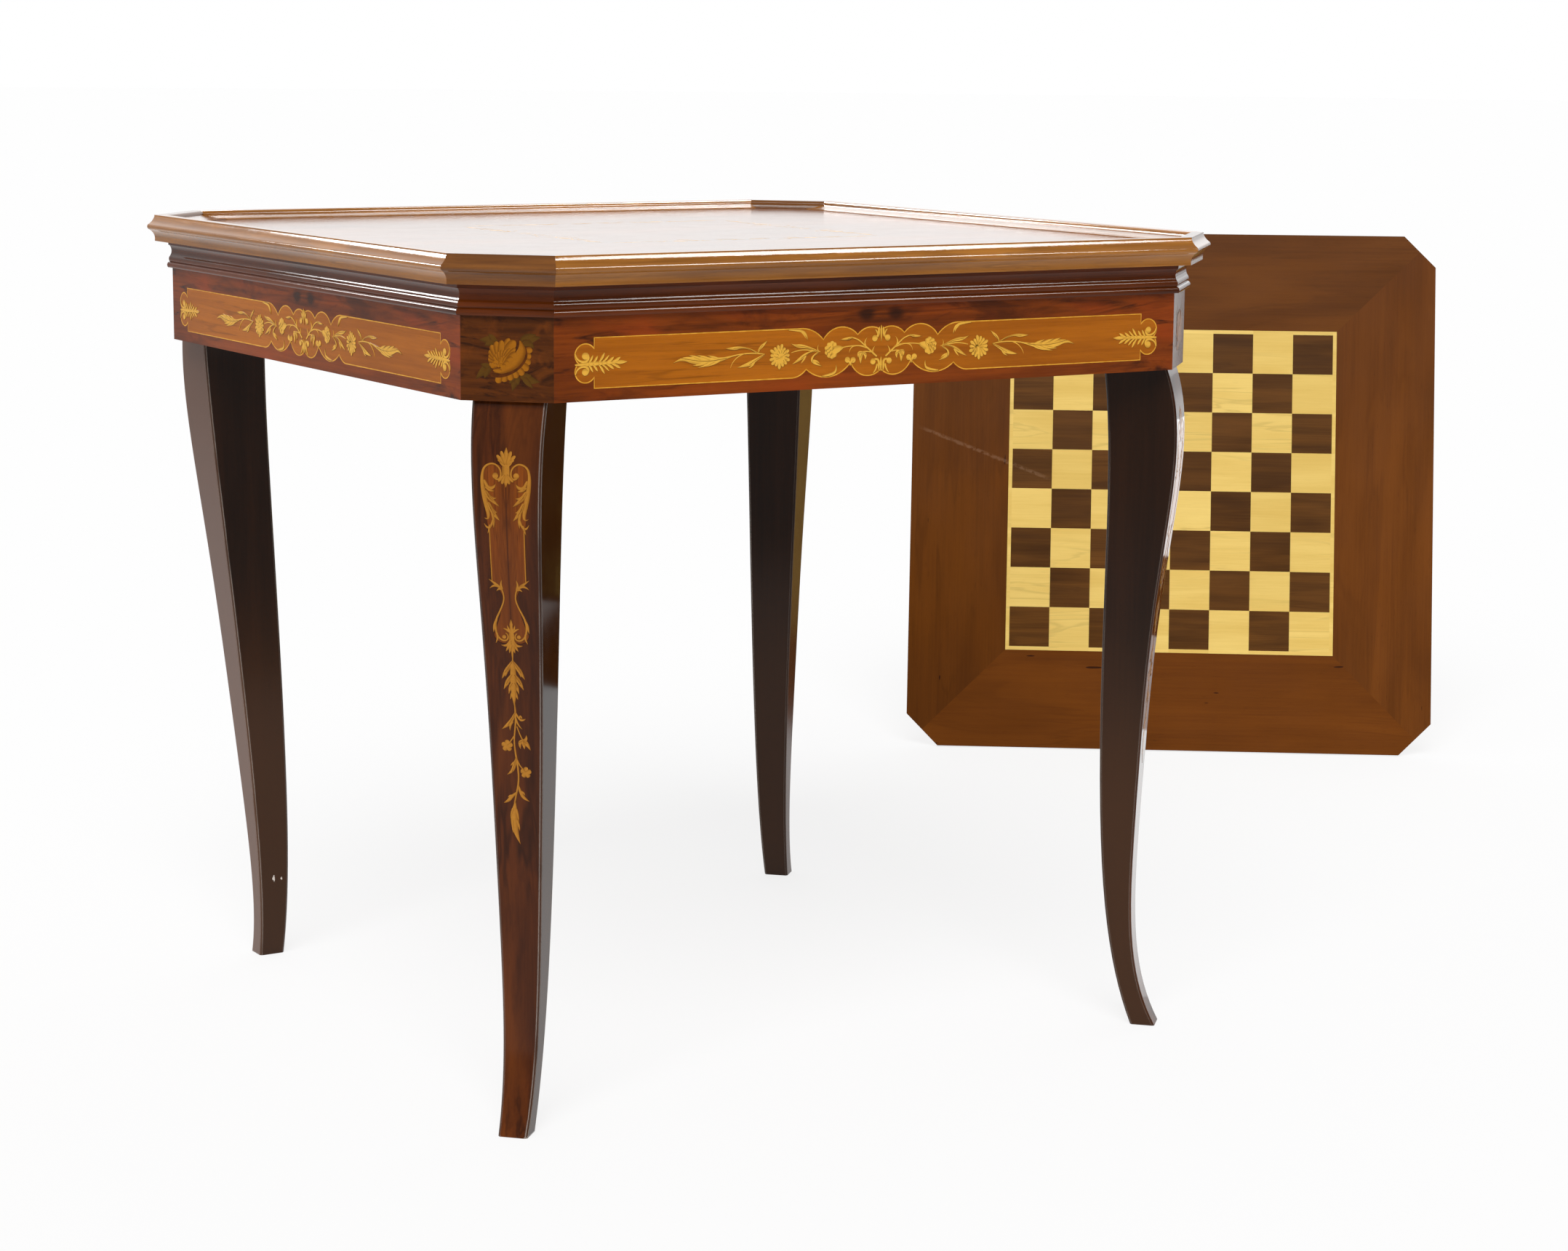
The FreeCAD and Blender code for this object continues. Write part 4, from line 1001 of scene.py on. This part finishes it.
# Marquetry of the legs
leg_scrolls = LYRE_SIDE + mirrored(LYRE_SIDE) + LYRE_MIDDLE + VINE
for x, y, radius in BLOSSOMS:
    leg_scrolls = leg_scrolls + blossom(x, y, radius)
leg_lines = veins_of([stroke for stroke in LYRE_SIDE + mirrored(LYRE_SIDE) + VINE if len(stroke) < 5], 1.6)
for corner, (place, outward) in leg_frames.items():
    layers = (
        ("leg_scorched_edges_", scorched(leg_scrolls), shadow_line), ("leg_scrolls_", leg_scrolls, leg_gold),
        ("leg_cut_lines_", leg_lines, cut_line),
    )
    for depth, (kind, strokes, finish) in enumerate(layers):
        piece = flat_strokes(kind + corner, strokes, PROUD + depth * LAYER)
        bend_to_leg(piece, nodes["leg_" + corner], place, outward)
        set_in(piece, place, LEG_BODIES[corner], finish)
bpy.data.objects.remove(blade)

# Floor and light
FLOOR_RADIUS = 60.0
WHITE = (1.0, 1.0, 1.0, 1.0)
FORWARD = (math.sin(CAMERA_YAW), math.cos(CAMERA_YAW), 0.0)
SIDEWAYS = (math.cos(CAMERA_YAW), -math.sin(CAMERA_YAW), 0.0)
bpy.ops.mesh.primitive_circle_add(vertices=96, radius=FLOOR_RADIUS, fill_type="NGON")
floor = bpy.context.object
floor.name = "studio_floor"
paint = material("floor_paint")
spot = paint.place()
depth = paint.dot(spot, FORWARD)
beside = paint.dot(spot, SIDEWAYS) - 0.24 * depth
left_of = paint.dot(spot, SIDEWAYS) + 0.24 * depth
near = paint.step(depth, -3.0, -0.8) * paint.step(beside, 3.2, 0.9) * paint.step(left_of, -3.0, -0.8)
haze = paint.noise(spot, (0.8, 0.8, 0.8), 2.0)
tone = paint.mix(near, srgb(200, 200, 200), paint.mix(haze * 0.2, srgb(246, 246, 246), srgb(240, 240, 240)))
kinds = ("Is Camera Ray", "Is Glossy Ray", "Is Transmission Ray")
seen, glossy, through = [paint.make("ShaderNodeLightPath", output=kind) for kind in kinds]
matt = paint.make("ShaderNodeBsdfDiffuse", sockets={"Color": tone})
white = paint.make("ShaderNodeEmission", sockets={"Color": WHITE, "Strength": 1.0})
share = near * 0.8 * (seen + glossy + through)
blend = paint.make("ShaderNodeMixShader", sockets={0: share, 1: matt, 2: white})
paint.make("ShaderNodeOutputMaterial", sockets={"Surface": blend})
floor.data.materials.append(paint.owner)

studio = bpy.data.worlds.new("studio")
bpy.context.scene.world = studio
room = Finish(studio)
look = room.make("ShaderNodeTexCoord", output="Generated")
height = room.part(look, 2)
behind = room.step(room.dot(look, (0.68, 0.73, 0.0)), 0.3, 0.85)
left_side = room.step(room.dot(look, SIDEWAYS), 0.1, -0.7)
wall = room.step(room.dot(look, FORWARD), 0.55, 0.85)
wall = wall * room.step(height, 0.05, 0.1) * room.step(height, 0.6, 0.35)
level = 0.25 + 0.75 * behind + 0.3 * left_side * (1 - behind) + 0.6 * wall
glow = room.make("ShaderNodeBackground", sockets={"Color": WHITE, "Strength": level})
room.make("ShaderNodeOutputWorld", sockets={"Surface": glow})

bpy.ops.object.light_add(type="SUN")
key = bpy.context.object
key.name = "soft_key"
key.rotation_euler = Vector((-0.45, -0.60, 0.80)).to_track_quat("Z", "Y").to_euler()
key.data.energy = 2.4
key.data.angle = math.radians(40.0)

for name, target, way, far, wide, high, glare in (
    ("front_softbox_high", (0.0, -0.42, 0.76), (0.516, 0.478, 0.704), 4.0, 1.2, 1.2, 28.0),
    ("front_softbox_low", (0.0, -0.42, 0.76), (0.516, -0.60, 0.61), 4.0, 1.2, 1.2, 28.0),
    ("left_softbox_high", (-0.42, 0.0, 0.76), (0.248, 0.839, 0.478), 4.0, 1.0, 1.0, 24.0),
    ("left_softbox_low", (-0.42, 0.0, 0.76), (-0.42, 0.839, 0.34), 4.0, 1.0, 1.0, 24.0),
    ("leg_card_high", (0.37, -0.37, 0.5635), (0.755, 0.635, -0.165), 0.9, 0.13, 0.21, 1.3),
    ("leg_card_low", (0.8915, 0.078, 0.5625), (0.077, 0.064, -0.995), 0.5, 0.14, 1.2, 0.45),
):
    bpy.ops.object.light_add(type="AREA", location=Vector(target) + far * Vector(way))
    softbox = bpy.context.object
    softbox.name = name
    softbox.rotation_euler = Vector(way).to_track_quat("Z", "Y").to_euler()
    softbox.data.shape = "RECTANGLE"
    softbox.data.size = wide
    softbox.data.size_y = high
    softbox.data.energy = glare * math.pi * wide * high
    softbox.visible_diffuse = False
    softbox.visible_camera = False

# Camera
forward = Vector((
    math.sin(CAMERA_YAW) * math.cos(CAMERA_PITCH),
    math.cos(CAMERA_YAW) * math.cos(CAMERA_PITCH),
    math.sin(CAMERA_PITCH),
))
level_right = Vector(SIDEWAYS)
level_up = level_right.cross(forward)
right = math.cos(CAMERA_ROLL) * level_right + math.sin(CAMERA_ROLL) * level_up
upward = right.cross(forward)
bpy.ops.object.camera_add()
camera = bpy.context.object
camera.matrix_world = axes(right, upward, -forward, CAMERA_AT)
camera.data.lens = CAMERA_LENS
camera.data.sensor_width = SENSOR_WIDE
camera.data.clip_end = 200.0
bpy.context.scene.camera = camera
bpy.context.scene.view_settings.view_transform = "Standard"
